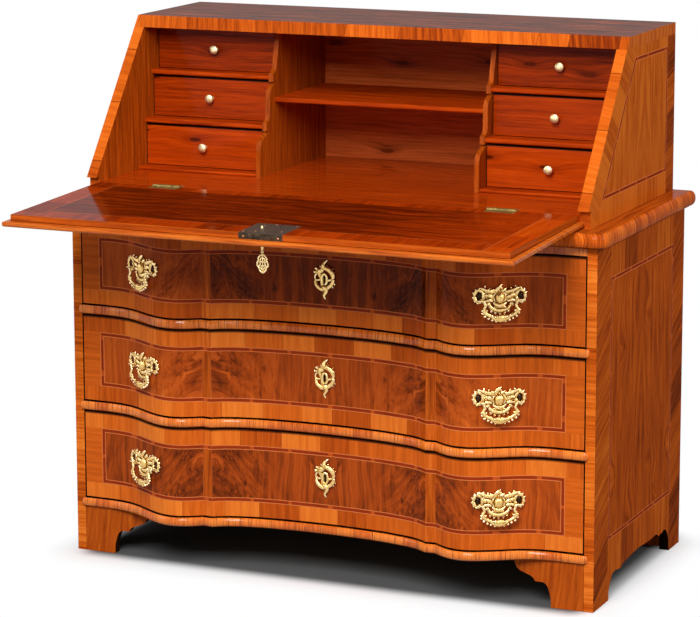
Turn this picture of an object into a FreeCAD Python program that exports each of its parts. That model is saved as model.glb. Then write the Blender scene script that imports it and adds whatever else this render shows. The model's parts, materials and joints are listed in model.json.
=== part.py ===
"""Slant-front escritoire: a chest of three serpentine drawers under a desk with a falling flap.

Millimetres, +Z up, the front faces -Y. Everything is modelled from the left side board, the front
plane of the side boards and the floor. The finished nodes are then moved so that the origin lies
under the middle of the bounding box, with the flap open.
"""
import math
import os

import FreeCAD
import Part

# Carcass
WIDTH = 1120.0
DEPTH = 536.0
SIDE_T = 20.0
BACK_T = 10.0
BACK_SETBACK = 4.0
BOTTOM_T = 16.0
CASE_Z = 709.0
LEDGE_T = 30.0
LEDGE_REACH = 12.0
LEDGE_NOSE = 11.0
LEDGE_CORNER_R = 15.0

# Serpentine front: depth of the bow, and the rails between the drawers
BOW = 66.0
RAIL_T = 19.0
RAIL_NOSE = 7.5
NOSE_LAND = 0.8
NOSE_SIDES = 8
RAIL_BACK = 70.0
RAIL_Z = [93.5, 297.0, 497.0]
TOP_RAIL_T = 16.0
RUNNER_W = 22.0
RUNNER_T = 16.0
STOP_X = 78.4
STOP_W = 40.0
STOP_LEN = 20.0
STOP_H = 4.5

# Feet
FOOT_W = 86.0
FOOT_TOP_W = 163.0
SIDE_FOOT = 89.0
BACK_FOOT = 68.0
ARCH_Z = 50.0
ARCH_NIB = 4.0
ARCH_RUN = 40.0
CUSP_RUN = 72.0
CREST_RUN = 24.0
BACK_RUN = 66.0
BACK_CREST_RUN = 40.0
BRACKET_T = 18.0
BLOCK_W = 40.0
BLOCK_LIFT = 2.0

# Desk
DESK_INSET = 25.5
DESK_SIDE_T = 22.0
DESK_INNER_H = 292.0
DESK_TOP_T = 23.0
BLOCK_STEP = 5.6
NIB_RISE = 9.0
SLANT = 52.7
PARTITION_X = 317.5
PARTITION_T = 10.0
SHELF_T = 10.0
BASE_T = 6.0
TIER_Z = [BASE_T, 104.0, 201.0]
TIER_FACE = [238.0, 272.0, 297.0]
SHELF_FRONT = [203.0, 233.0, 266.0]
CENTRE_SHELF_Z = 156.0
CENTRE_SHELF_FRONT = 270.0
EDGE_BLOCK_OUT = 3.5
EDGE_BLOCK_UNDER = 3.0
EDGE_BLOCK_OVER = 4.0
EDGE_HOLLOW_R = 17.0
EDGE_SHOULDER = 14.0
EDGE_SLOPE = 0.5
EDGE_END = 14.0

# Flap
HINGE_Y = 26.4
FLAP_T = 22.4
FLAP_REBATE = 12.5
FLAP_SIDE_GAP = 2.0
FLAP_TOP_GAP = 0.5
FLAP_CLEAR = 3.3
FLAP_REST = 0.38
LIP_SIDE = 11.7
LIP_FRONT = 13.9
LIP_IN = 8.0
LIP_ROUND = 4.5
LIP_EASE = 2.0
EDGE_GAP = 0.5
STILE_GAP = 0.3

# Flap hinges, lock and key
HINGE_X = 202.0
HINGE_LEN = 61.0
LEAF_W = 20.0
LEAF_T = 2.0
KNUCKLE_R = 3.4
KNUCKLE_GAP = 0.5
LEAF_WEB = 1.5
PIN_R = 1.5
FIT = 0.05
GAP = 0.3
SCREW_HEAD_R = 2.8
SCREW_R = 1.4
SCREW_LEN = 11.0
LOCK_OFF = 18.0
LOCK_W = 90.0
LOCK_LEN = 88.0
LOCK_FLOOR = 1.7
BOLT_W = 18.0
BOLT_LEN = 50.0
BOLT_T = 4.3
BOLT_IN = 2.6
BOLT_BACK = 0.2
BOLT_GAP = 0.5
BOLT_THROW = 12.0
KEY_BACK = 46.0
KEY_R = 2.8
KEY_SHANK = 29.0
KEY_CLEAR = 0.6
BIT_REACH = 9.0
BIT_T = 2.4
BIT_H = 3.4
COLLAR_DROP = 9.0
COLLAR_H = 3.0
COLLAR_STEP = 1.6
KEY_BOW_H = 38.0
KEY_BOW_W = 25.0
KEY_BOW_T = 3.2
KEY_BOW_LAP = 3.0
BOW_WINDOW_X = 5.0
BOW_WINDOW_W = 6.8
BOW_WINDOW_H = 20.5
BOW_WINDOW_DROP = 1.0
FLAP_PLATE_R = 21.0
FLAP_PLATE_W = 30.0
FLAP_PLATE_T = 1.4

# Large drawers
DRAWER_GAP = 1.5
DRAWER_UNDER = 2.5
DRAWER_OVER = 4.0
FRONT_T = 24.0
BOX_T = 12.0
BOX_BACK_GAP = 22.0
BOX_BOTTOM_T = 8.0
BOX_BOTTOM_UP = 3.0
BOX_DROP = 6.0
HANDLE_X = 181.0
HANDLE_DROP = 4.0
PLATE_T = 2.2
OUTLINE_SIDES = 72
POST_SPREAD = 40.0
POST_R = 4.4
POST_OUT = 13.0
POST_BALL = 1.2
STUD_R = 2.0
STUD_LEN = 14.0
STUD_GAP = 0.1
BAIL_R = 2.6
BAIL_W = 32.0
BAIL_H = 38.0
BAIL_CORNER = 25.0
BAIL_PIN_R = 1.6
BAIL_PIN_END = 1.4
BAIL_AXIS_Z = 6.0
DRAWER_LOCK_W = 80.0
DRAWER_LOCK_H = 100.0
DRAWER_LOCK_T = 13.0
DRAWER_LOCK_PROUD = 1.0
DRAWER_BOLT_W = 18.0
DRAWER_BOLT_T = 6.0
DRAWER_BOLT_H = 34.0
DRAWER_BOLT_IN = 9.0
DRAWER_BOLT_DROP = 0.5
DRAWER_BOLT_THROW = 10.0
MORTISE_GAP = 0.7
MORTISE_SPARE = 2.0
ESCUTCHEON_RISE = 3.0
KEYHOLE_RISE = 1.0
KEYHOLE_R = 3.4
KEYHOLE_W = 3.6
KEYHOLE_UP = 4.0
KEYHOLE_DOWN = 9.0
KEYHOLE_IN = 6.0

# Small drawers
SMALL_GAP = 1.2
SMALL_OVER = 3.0
SMALL_FRONT_T = 13.0
SMALL_T = 7.0
SMALL_BACK_GAP = 10.0
SMALL_DROP = 6.0
SMALL_BOTTOM_UP = 2.0
SMALL_BOTTOM_T = 5.0
KNOB_R = 9.0
KNOB_OUT = 17.0
KNOB_SHANK_R = 2.5
KNOB_SHANK = 10.0

MID = WIDTH / 2
LEDGE_Z = CASE_Z + LEDGE_T
FLOOR_Z = LEDGE_Z + FLAP_T + FLAP_CLEAR
DESK_UNDER = FLOOR_Z + DESK_INNER_H
DESK_TOP_Z = DESK_UNDER + DESK_TOP_T
BACK_Y = DEPTH - BACK_SETBACK - BACK_T
BOX_BACK = BACK_Y - BOX_BACK_GAP
SMALL_BACK = BACK_Y - SMALL_BACK_GAP
TOP_RAIL_Z = CASE_Z - TOP_RAIL_T
DESK_X0 = DESK_INSET + DESK_SIDE_T
DESK_X1 = WIDTH - DESK_X0
SLANT_COS = math.cos(math.radians(SLANT))
SLANT_SIN = math.sin(math.radians(SLANT))
CLOSE_TURN = SLANT - 180.0
FLAP_EDGE = DESK_X0 + FLAP_SIDE_GAP
FLAP_LEN = (DESK_INNER_H - FLAP_REBATE * SLANT_COS - FLAP_TOP_GAP) / SLANT_SIN
FLAP_FRONT = HINGE_Y - FLAP_LEN
FLAP_DROP = math.degrees(math.atan2(FLAP_CLEAR - FLAP_REST, HINGE_Y + BOW + LEDGE_REACH))
BIT_IN = BOLT_IN + BOLT_T + BOLT_GAP
LOCK_T = BIT_IN + BIT_H + LOCK_FLOOR
MORTISE_H = DRAWER_BOLT_THROW - DRAWER_OVER + MORTISE_SPARE

# Plan of one half of the front, from the flat end to the middle: share of WIDTH, share of BOW.
# The slopes where the two curves meet the straight break between them are in the same shares.
LOBE = [(0.4464, 0.0), (0.4196, 0.018), (0.3929, 0.098), (0.3661, 0.288), (0.3393, 0.568),
        (0.3125, 0.833), (0.2875, 0.985), (0.2679, 0.992), (0.25, 0.894), (0.2339, 0.727),
        (0.2232, 0.606)]
HOLLOW = [(0.2054, 0.636), (0.1929, 0.477), (0.1786, 0.364), (0.1563, 0.25), (0.1295, 0.152),
          (0.0893, 0.068), (0.0446, 0.017)]
LOBE_SLOPE = 11.2
HOLLOW_SLOPE = 13.576
LOBE_ARC_COUNT = 7
HOLLOW_ARC_COUNT = 8


def vec(x, y, z):
    return FreeCAD.Vector(x, y, z)


def box(x0, x1, y0, y1, z0, z1):
    return Part.makeBox(x1 - x0, y1 - y0, z1 - z0, vec(x0, y0, z0))


def rod(x, y, z, axis, radius, length):
    return Part.makeCylinder(radius, length, vec(x, y, z), axis)


def extrude_x(points, x0, x1):
    wire = Part.makePolygon([vec(x0, y, z) for y, z in points + points[:1]])
    return Part.Face(wire).extrude(vec(x1 - x0, 0, 0))


def fused(shapes):
    return shapes[0].multiFuse(shapes[1:]).removeSplitter()


def cut(shape, tools):
    return shape.cut(Part.makeCompound(tools)) if tools else shape


def mirrored(shape):
    return shape.mirror(vec(MID, 0, 0), vec(1, 0, 0))


def spline_curve(points, start, end):
    curve = Part.BSplineCurve()
    curve.interpolate(Points=points, InitialTangent=start, FinalTangent=end)
    return curve


def spline(points, start, end):
    return spline_curve(points, start, end).toShape()


def arc_from(start, corner, end):
    """The arc from start to end that is tangent to both lines to the corner."""
    chord = (start + end) * 0.5
    half = (end - chord).Length
    height = (corner - chord).Length
    if height < 1e-7 * half:
        return Part.makeLine(start, end)
    sag = half * math.tan(math.atan2(height, half) / 2)
    return Part.Arc(start, chord + (corner - chord) * (sag / height), end).toShape()


def arcs(points, start, end, spans):
    """Arcs that run smoothly into each other, two to a span, along a spline through the points."""
    curve = spline_curve(points, start, end)
    low, high = curve.FirstParameter, curve.LastParameter
    steps = [low + (high - low) * i / spans for i in range(spans + 1)]
    edges = []
    for t0, t1 in zip(steps, steps[1:]):
        a, b = curve.value(t0), curve.value(t1)
        ta, tb = curve.tangent(t0)[0], curve.tangent(t1)[0]
        run = b - a
        q = run.dot(ta + tb)
        bend = 2 * (1 - ta.dot(tb))
        d = run.dot(run) / (q + math.sqrt(q * q + bend * run.dot(run)))
        near, far = a + ta * d, b - tb * d
        joint = (near + far) * 0.5
        edges += [arc_from(a, near, joint), arc_from(joint, far, b)]
    return edges


def front_edges(shift, z, x0, x1):
    """The serpentine from x0 to x1, moved back by shift. Both ends lie on its flat parts."""
    def at(side, share, bow):
        return vec(MID + side * share * WIDTH, shift - bow * BOW, z)
    left = [at(-1, *p) for p in LOBE]
    right = [at(1, *p) for p in reversed(LOBE)]
    hollow = [at(-1, *p) for p in HOLLOW] + [vec(MID, shift, z)]
    hollow += [at(1, *p) for p in reversed(HOLLOW)]
    slope = BOW / WIDTH
    fall = vec(1, LOBE_SLOPE * slope, 0)
    rise = vec(1, -LOBE_SLOPE * slope, 0)
    flat = vec(1, 0, 0)
    steep = vec(1, HOLLOW_SLOPE * slope, 0)
    climb = vec(1, -HOLLOW_SLOPE * slope, 0)
    edges = [Part.makeLine(vec(x0, shift, z), left[0])]
    edges += arcs(left, flat, fall, LOBE_ARC_COUNT)
    edges.append(Part.makeLine(left[-1], hollow[0]))
    edges += arcs(hollow, steep, climb, HOLLOW_ARC_COUNT)
    edges.append(Part.makeLine(hollow[-1], right[0]))
    edges += arcs(right, rise, flat, LOBE_ARC_COUNT)
    edges.append(Part.makeLine(right[-1], vec(x1, shift, z)))
    return edges


def front_slab(shift, back, x0, x1, z0, z1):
    """A slab with the serpentine as its front and a straight back."""
    edges = front_edges(shift, z0, x0, x1)
    a = vec(x0, shift, z0)
    b = vec(x0, back, z0)
    c = vec(x1, back, z0)
    d = vec(x1, shift, z0)
    edges += [Part.makeLine(d, c), Part.makeLine(c, b), Part.makeLine(b, a)]
    face = Part.Face(Part.Wire(Part.__sortEdges__(edges)))
    return face.extrude(vec(0, 0, z1 - z0))


def front_band(near, far, x0, x1, z0, z1):
    """A sheet that follows the serpentine, between two shifts of it."""
    edges = front_edges(near, z0, x0, x1) + front_edges(far, z0, x0, x1)
    edges.append(Part.makeLine(vec(x0, near, z0), vec(x0, far, z0)))
    edges.append(Part.makeLine(vec(x1, near, z0), vec(x1, far, z0)))
    face = Part.Face(Part.Wire(Part.__sortEdges__(edges)))
    return face.extrude(vec(0, 0, z1 - z0))


def front_at(x):
    """Where the drawer faces lie at x, and their slope there."""
    probe = Part.makeLine(vec(x, -3 * BOW, 0), vec(x, 2 * BOW, 0))
    for edge in front_edges(0, 0, 0, WIDTH):
        gap, pairs, info = edge.distToShape(probe)
        if gap < 1e-6:
            tangent = edge.tangentAt(edge.Curve.parameter(pairs[0][0]))
            return pairs[0][0].y, math.degrees(math.atan2(tangent.y, tangent.x))
    return 0.0, 0.0


def nose_points(reach, z0, z1):
    """The corners of a half-round that stands out by reach, as (out, height) pairs."""
    points = [(0, z1)]
    for i in range(NOSE_SIDES + 1):
        turn = math.pi * (0.5 - i / NOSE_SIDES)
        out = NOSE_LAND + (reach - NOSE_LAND) * math.cos(turn)
        points.append((out, (z0 + z1) / 2 + (z1 - z0) / 2 * math.sin(turn)))
    return points + [(0, z0)]


def bar(path, points):
    """A moulding along a path in plan that always faces the front. Its corners are (out, height)."""
    faces = []
    for (out0, z0), (out1, z1) in zip(points, points[1:] + points[:1]):
        near = [e.translated(vec(0, -out0, z0)) for e in path]
        step = vec(0, out0 - out1, z1 - z0)
        if abs(step.z) > 1e-6:
            faces += [e.extrude(step) for e in near]
            continue
        ends = [near[0].Vertexes[0].Point, near[-1].Vertexes[-1].Point]
        flat = near + [e.translated(step) for e in near] + [Part.makeLine(p, p + step) for p in ends]
        faces.append(Part.Face(Part.Wire(Part.__sortEdges__(flat))))
    for end in (path[0].Vertexes[0].Point, path[-1].Vertexes[-1].Point):
        corners = [end + vec(0, -out, z) for out, z in points]
        faces.append(Part.Face(Part.makePolygon(corners + corners[:1])))
    shell = Part.makeShell(faces)
    shell.sewShape()
    solid = Part.Solid(shell)
    if solid.Volume < 0:
        solid.reverse()
    return solid


def nosed_rail(z0):
    """A rail's board and the half-round glued along its front, whose ends curl onto the sides."""
    z1 = z0 + RAIL_T
    board = front_slab(0, RAIL_BACK, SIDE_T, WIDTH - SIDE_T, z0, z1)
    points = nose_points(RAIL_NOSE, z0, z1)
    nose = bar(front_edges(0, 0, SIDE_T, WIDTH - SIDE_T), points)
    corners = [vec(SIDE_T, -out, z) for out, z in points]
    tip = Part.Face(Part.makePolygon(corners + corners[:1]))
    tip = tip.revolve(vec(SIDE_T, 0, 0), vec(0, 0, 1), -90)
    return board, fused([nose, tip, mirrored(tip)])


def keyhole(x, z, y0, y1):
    """A keyhole through a front, along Y."""
    eye = rod(x, y0, z + KEYHOLE_UP, vec(0, 1, 0), KEYHOLE_R, y1 - y0)
    slot = box(x - KEYHOLE_W / 2, x + KEYHOLE_W / 2, y0, y1, z - KEYHOLE_DOWN, z + KEYHOLE_UP)
    return fused([eye, slot])


def make_case(nodes):
    arch = ARCH_Z
    nib = arch - ARCH_NIB
    back = DEPTH - BACK_FOOT
    cusp = SIDE_FOOT + CUSP_RUN
    back_cusp = back - BACK_RUN
    front_arch = [vec(0, SIDE_FOOT + ARCH_RUN * run, arch * rise)
                  for run, rise in ((0, 0), (0.05, 0.42), (0.35, 0.8), (1, 1))]
    back_arch = [vec(0, back_cusp, nib)]
    back_arch += [vec(0, back - BACK_RUN * run, arch * rise)
                  for run, rise in ((0.79, 0.98), (0.515, 1.04), (0.15, 0.76), (0, 0))]
    middle = [vec(0, cusp, nib), vec(0, cusp + CREST_RUN, arch * 1.05),
              vec(0, (SIDE_FOOT + back) / 2, arch * 1.15),
              vec(0, back_cusp - BACK_CREST_RUN, arch * 1.1), vec(0, back_cusp, nib)]
    edges = [
        Part.makeLine(vec(0, 0, CASE_Z), vec(0, 0, 0)),
        Part.makeLine(vec(0, 0, 0), front_arch[0]),
        spline(front_arch, vec(0, 0, 1), vec(0, 1, 0)),
        Part.makeLine(front_arch[-1], middle[0]),
        spline(middle, vec(0, 1, 1), vec(0, 1, -1)),
        spline(back_arch, vec(0, 0.6, 1), vec(0, 0, -1)),
        Part.makeLine(back_arch[-1], vec(0, DEPTH, 0)),
        Part.makeLine(vec(0, DEPTH, 0), vec(0, DEPTH, CASE_Z)),
        Part.makeLine(vec(0, DEPTH, CASE_Z), vec(0, 0, CASE_Z)),
    ]
    side = Part.Face(Part.Wire(edges)).extrude(vec(SIDE_T, 0, 0))
    side = side.cut(box(SIDE_T / 2, SIDE_T + 1, BACK_Y, BACK_Y + BACK_T, RAIL_Z[0], CASE_Z + 1))
    nodes["left_case_side"] = side
    nodes["right_case_side"] = mirrored(side)
    nodes["case_back"] = box(SIDE_T / 2, WIDTH - SIDE_T / 2, BACK_Y, BACK_Y + BACK_T, RAIL_Z[0], CASE_Z)
    base_top = RAIL_Z[0] + RAIL_T
    nodes["case_bottom"] = box(SIDE_T, WIDTH - SIDE_T, RAIL_BACK, BACK_Y, base_top - BOTTOM_T, base_top)
    nodes["base_rail"] = list(nosed_rail(RAIL_Z[0]))

    top_rail = front_slab(0, RAIL_BACK, SIDE_T, WIDTH - SIDE_T, TOP_RAIL_Z, CASE_Z)
    rails = [top_rail.cut(drawer_bolt(TOP_RAIL_Z, MORTISE_GAP, MORTISE_H))]
    for z in RAIL_Z[1:]:
        board, nose = nosed_rail(z)
        rails += [board.cut(drawer_bolt(z, MORTISE_GAP, MORTISE_H)), nose]
    nodes["front_rails"] = rails

    runners = []
    for z in RAIL_Z[1:]:
        top = z + RAIL_T
        runner = box(SIDE_T, SIDE_T + RUNNER_W, RAIL_BACK, BACK_Y, top - RUNNER_T, top)
        runners += [runner, mirrored(runner)]
    for z in RAIL_Z:
        top = z + RAIL_T
        x = MID - STOP_X
        stop = box(x, x + STOP_W, FRONT_T + GAP, FRONT_T + STOP_LEN, top, top + STOP_H)
        runners += [stop, mirrored(stop)]
    nodes["drawer_runners"] = runners

    h = RAIL_Z[0]
    w = FOOT_TOP_W - FOOT_W
    curl = [vec(FOOT_W, 0, 0), vec(FOOT_W + 0.02 * w, 0, 0.24 * h), vec(FOOT_W + 0.06 * w, 0, 0.36 * h),
            vec(FOOT_W + 0.25 * w, 0, 0.525 * h)]
    ogee = [vec(FOOT_W + 0.42 * w, 0, 0.525 * h), vec(FOOT_W + 0.66 * w, 0, 0.67 * h),
            vec(FOOT_W + 0.89 * w, 0, 0.76 * h), vec(FOOT_TOP_W, 0, h)]
    edges = [
        Part.makeLine(vec(SIDE_T, 0, 0), curl[0]),
        spline(curl, vec(0, 0, 1), vec(1, 0, 0.1)),
        Part.makeLine(curl[-1], ogee[0]),
        spline(ogee, vec(0.4, 0, 1), vec(0.1, 0, 1)),
        Part.makeLine(ogee[-1], vec(SIDE_T, 0, h)),
        Part.makeLine(vec(SIDE_T, 0, h), vec(SIDE_T, 0, 0)),
    ]
    bracket = Part.Face(Part.Wire(edges)).extrude(vec(0, BRACKET_T, 0))
    front_block = box(SIDE_T, SIDE_T + BLOCK_W, BRACKET_T, BRACKET_T + BLOCK_W, BLOCK_LIFT, h)
    rear = BACK_Y - BLOCK_W
    rear_block = box(SIDE_T, SIDE_T + BLOCK_W, rear, BACK_Y, BLOCK_LIFT, base_top - BOTTOM_T)
    feet = [bracket, front_block, rear_block]
    nodes["feet"] = feet + [mirrored(s) for s in feet]

    x0 = -LEDGE_REACH
    x1 = WIDTH + LEDGE_REACH
    y0 = -LEDGE_REACH
    r = LEDGE_CORNER_R
    d = r * (1 - math.sqrt(0.5))
    z = CASE_Z
    left = Part.Arc(vec(x0, y0 + r, z), vec(x0 + d, y0 + d, z), vec(x0 + r, y0, z))
    right = Part.Arc(vec(x1 - r, y0, z), vec(x1 - d, y0 + d, z), vec(x1, y0 + r, z))
    edges = [Part.makeLine(vec(x0, DEPTH, z), vec(x0, y0 + r, z)), left.toShape()]
    edges += front_edges(y0, z, x0 + r, x1 - r)
    edges += [right.toShape(), Part.makeLine(vec(x1, y0 + r, z), vec(x1, DEPTH, z))]
    edges.append(Part.makeLine(vec(x1, DEPTH, z), vec(x0, DEPTH, z)))
    nodes["case_top"] = Part.Face(Part.Wire(edges)).extrude(vec(0, 0, LEDGE_T))
    points = nose_points(LEDGE_NOSE, CASE_Z, LEDGE_Z)
    corners = [vec(x0 - out, y0 + r, z) for out, z in points]
    side = Part.Face(Part.makePolygon(corners + corners[:1]))
    corner = side.revolve(vec(x0 + r, y0 + r, 0), vec(0, 0, 1), 90)
    side = fused([side.extrude(vec(0, DEPTH - y0 - r, 0)), corner])
    front = bar(front_edges(y0, 0, x0 + r, x1 - r), points)
    nodes["case_top_moulding"] = [side, mirrored(side), front]


def slant_y(z):
    """Where the sloping front edges of the desk's sides lie at height z."""
    off = FLAP_REBATE - STILE_GAP
    t = (z - FLOOR_Z - off * SLANT_COS) / SLANT_SIN
    return HINGE_Y + t * SLANT_COS - off * SLANT_SIN


def partition_edge():
    """The scalloped front edge of a partition, from the floor up to the desk top."""
    blocks = [front - EDGE_BLOCK_OUT for front in SHELF_FRONT]
    at = vec(0, blocks[0], FLOOR_Z)
    edges = []

    def line_to(y, z):
        nonlocal at
        edges.append(Part.makeLine(at, vec(0, y, z)))
        at = vec(0, y, z)

    def arc_to(corner_y, corner_z, y, z):
        nonlocal at
        edges.append(arc_from(at, vec(0, corner_y, corner_z), vec(0, y, z)))
        at = vec(0, y, z)

    lean = math.hypot(1, EDGE_SLOPE)
    for i in range(2):
        end = blocks[i + 1] + EDGE_END
        end_z = FLOOR_Z + TIER_Z[i + 1] - SHELF_T - EDGE_BLOCK_UNDER
        shoulder = end_z - EDGE_SLOPE * (end - at.y)
        y = at.y
        line_to(y, shoulder - EDGE_SHOULDER)
        arc_to(y, shoulder, y + EDGE_SHOULDER / lean, shoulder + EDGE_SHOULDER * EDGE_SLOPE / lean)
        line_to(end, end_z)
        line_to(blocks[i + 1], end_z)
        line_to(blocks[i + 1], FLOOR_Z + TIER_Z[i + 1] + EDGE_BLOCK_OVER)
        hollow = at.y + EDGE_HOLLOW_R
        arc_to(hollow, at.z, hollow, at.z + EDGE_HOLLOW_R)
    line_to(TIER_FACE[2], DESK_UNDER)
    return edges


def make_desk(nodes):
    nib = FLOOR_Z + NIB_RISE
    block = HINGE_Y + BLOCK_STEP
    outline = [(block, LEDGE_Z), (block, nib), (slant_y(nib), nib),
               (slant_y(DESK_UNDER), DESK_UNDER), (DEPTH, DESK_UNDER), (DEPTH, LEDGE_Z)]
    side = extrude_x(outline, DESK_INSET, DESK_X0)
    nodes["desk_left_side"] = side
    nodes["desk_right_side"] = mirrored(side)
    outline = [(slant_y(DESK_UNDER), DESK_UNDER), (slant_y(DESK_TOP_Z), DESK_TOP_Z),
               (DEPTH, DESK_TOP_Z), (DEPTH, DESK_UNDER)]
    top = extrude_x(outline, DESK_INSET, WIDTH - DESK_INSET)
    mortise = flap_bolt(BOLT_GAP)
    mortise = mortise.fuse(mortise.translated(vec(0, -BOLT_THROW - MORTISE_SPARE, 0)))
    mortise.rotate(vec(0, HINGE_Y, FLOOR_Z), vec(1, 0, 0), CLOSE_TURN)
    nodes["desk_top"] = top.cut(mortise)
    nodes["desk_back"] = box(DESK_X0, DESK_X1, BACK_Y, BACK_Y + BACK_T, LEDGE_Z, DESK_UNDER)
    floor = box(DESK_X0, DESK_X1, HINGE_Y + EDGE_GAP, BACK_Y, LEDGE_Z, FLOOR_Z)
    nodes["desk_floor"] = cut(floor, hinge_space(1))

    edges = partition_edge()
    foot = edges[0].Vertexes[0].Point
    edges.append(Part.makeLine(vec(0, TIER_FACE[2], DESK_UNDER), vec(0, BACK_Y, DESK_UNDER)))
    edges.append(Part.makeLine(vec(0, BACK_Y, DESK_UNDER), vec(0, BACK_Y, FLOOR_Z)))
    edges.append(Part.makeLine(vec(0, BACK_Y, FLOOR_Z), foot))
    board = Part.Face(Part.Wire(Part.__sortEdges__(edges))).extrude(vec(PARTITION_T, 0, 0))
    board.translate(vec(PARTITION_X, 0, 0))
    nodes["desk_partitions"] = [board, mirrored(board)]

    shelves = []
    for i, front in enumerate(SHELF_FRONT):
        top_z = FLOOR_Z + TIER_Z[i]
        thick = BASE_T if i == 0 else SHELF_T
        shelves.append(nosed_shelf(DESK_X0, PARTITION_X, front, top_z - thick, top_z))
    nodes["bank_shelves"] = shelves + [mirrored(s) for s in shelves]
    z = FLOOR_Z + CENTRE_SHELF_Z
    inner = PARTITION_X + PARTITION_T
    nodes["centre_shelf"] = nosed_shelf(inner, WIDTH - inner, CENTRE_SHELF_FRONT, z - SHELF_T, z)


def nosed_shelf(x0, x1, front, z0, z1):
    shelf = box(x0, x1, front, BACK_Y, z0, z1)
    rim = [e for e in shelf.Edges if abs(e.BoundBox.YMax - front) < 0.01 and e.BoundBox.XLength > 1]
    return shelf.makeFillet((z1 - z0) * 0.4, rim)


def hinge_space(side):
    """Room for one hinge pair's leaves and knuckles. side is 1 for the floor, -1 for the flap."""
    tools = []
    for x in (HINGE_X, WIDTH - HINGE_X):
        x0 = x - HINGE_LEN / 2
        x1 = x + HINGE_LEN / 2
        y = sorted([HINGE_Y, HINGE_Y + side * (KNUCKLE_R + LEAF_W)])
        tools.append(box(x0, x1, y[0], y[1], FLOOR_Z - LEAF_T, FLOOR_Z + 1))
        tools.append(rod(x0 - GAP, HINGE_Y, FLOOR_Z, vec(1, 0, 0), KNUCKLE_R + KNUCKLE_GAP,
                         HINGE_LEN + 2 * GAP))
        for screw in hinge_screws(x, side):
            tools.append(screw)
    return tools


def hinge_screws(x, side):
    screws = []
    y = HINGE_Y + side * (KNUCKLE_R + 0.6 * LEAF_W)
    for dx in (-0.33, 0.0, 0.33):
        head = rod(x + dx * HINGE_LEN, y, FLOOR_Z - LEAF_T, vec(0, 0, 1), SCREW_HEAD_R, LEAF_T)
        low = FLOOR_Z - SCREW_LEN
        shank = rod(x + dx * HINGE_LEN, y, low, vec(0, 0, 1), SCREW_R, SCREW_LEN - LEAF_T)
        screws.append(fused([head, shank]))
    return screws


def hinge_leaf(x, side):
    """One leaf: the floor's leaf holds the pin in two knuckles, the flap's turns on it with one."""
    x0 = x - HINGE_LEN / 2
    third = HINGE_LEN / 3
    spans = [(0, third), (2 * third, HINGE_LEN)] if side > 0 else [(third + GAP, 2 * third - GAP)]
    y = sorted([HINGE_Y, HINGE_Y + side * (KNUCKLE_R + LEAF_W)])
    leaf = box(x0, x0 + HINGE_LEN, y[0], y[1], FLOOR_Z - LEAF_T, FLOOR_Z)
    leaf = leaf.cut(rod(x0 - 1, HINGE_Y, FLOOR_Z, vec(1, 0, 0), KNUCKLE_R + KNUCKLE_GAP, HINGE_LEN + 2))
    parts = [leaf]
    for a, b in spans:
        parts.append(rod(x0 + a, HINGE_Y, FLOOR_Z, vec(1, 0, 0), KNUCKLE_R, b - a))
        web = sorted([HINGE_Y, HINGE_Y + side * (KNUCKLE_R + LEAF_WEB)])
        parts.append(box(x0 + a, x0 + b, web[0], web[1], FLOOR_Z - LEAF_T, FLOOR_Z))
    leaf = fused(parts)
    bore = PIN_R if side > 0 else PIN_R + FIT
    leaf = leaf.cut(rod(x0 - 1, HINGE_Y, FLOOR_Z, vec(1, 0, 0), bore, HINGE_LEN + 2))
    return cut(leaf, hinge_screws(x, side))


def flap_bolt(grow):
    x = MID + LOCK_OFF
    return box(x - BOLT_W / 2 - grow, x + BOLT_W / 2 + grow, FLAP_FRONT - grow + BOLT_BACK,
               FLAP_FRONT + BOLT_LEN + grow, FLOOR_Z - BOLT_IN - BOLT_T - grow, FLOOR_Z - BOLT_IN + grow)


def key_way(z0, z1, grow):
    """The key's shank and bit as a column from z0 to z1, in the open flap."""
    y = FLAP_FRONT + KEY_BACK
    shank = rod(MID, y, z0, vec(0, 0, 1), KEY_R + grow, z1 - z0)
    half = BIT_T / 2 + grow
    bit = box(MID, MID + BIT_REACH + grow, y - half, y + half, z0, z1)
    return fused([shank, bit])


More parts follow.
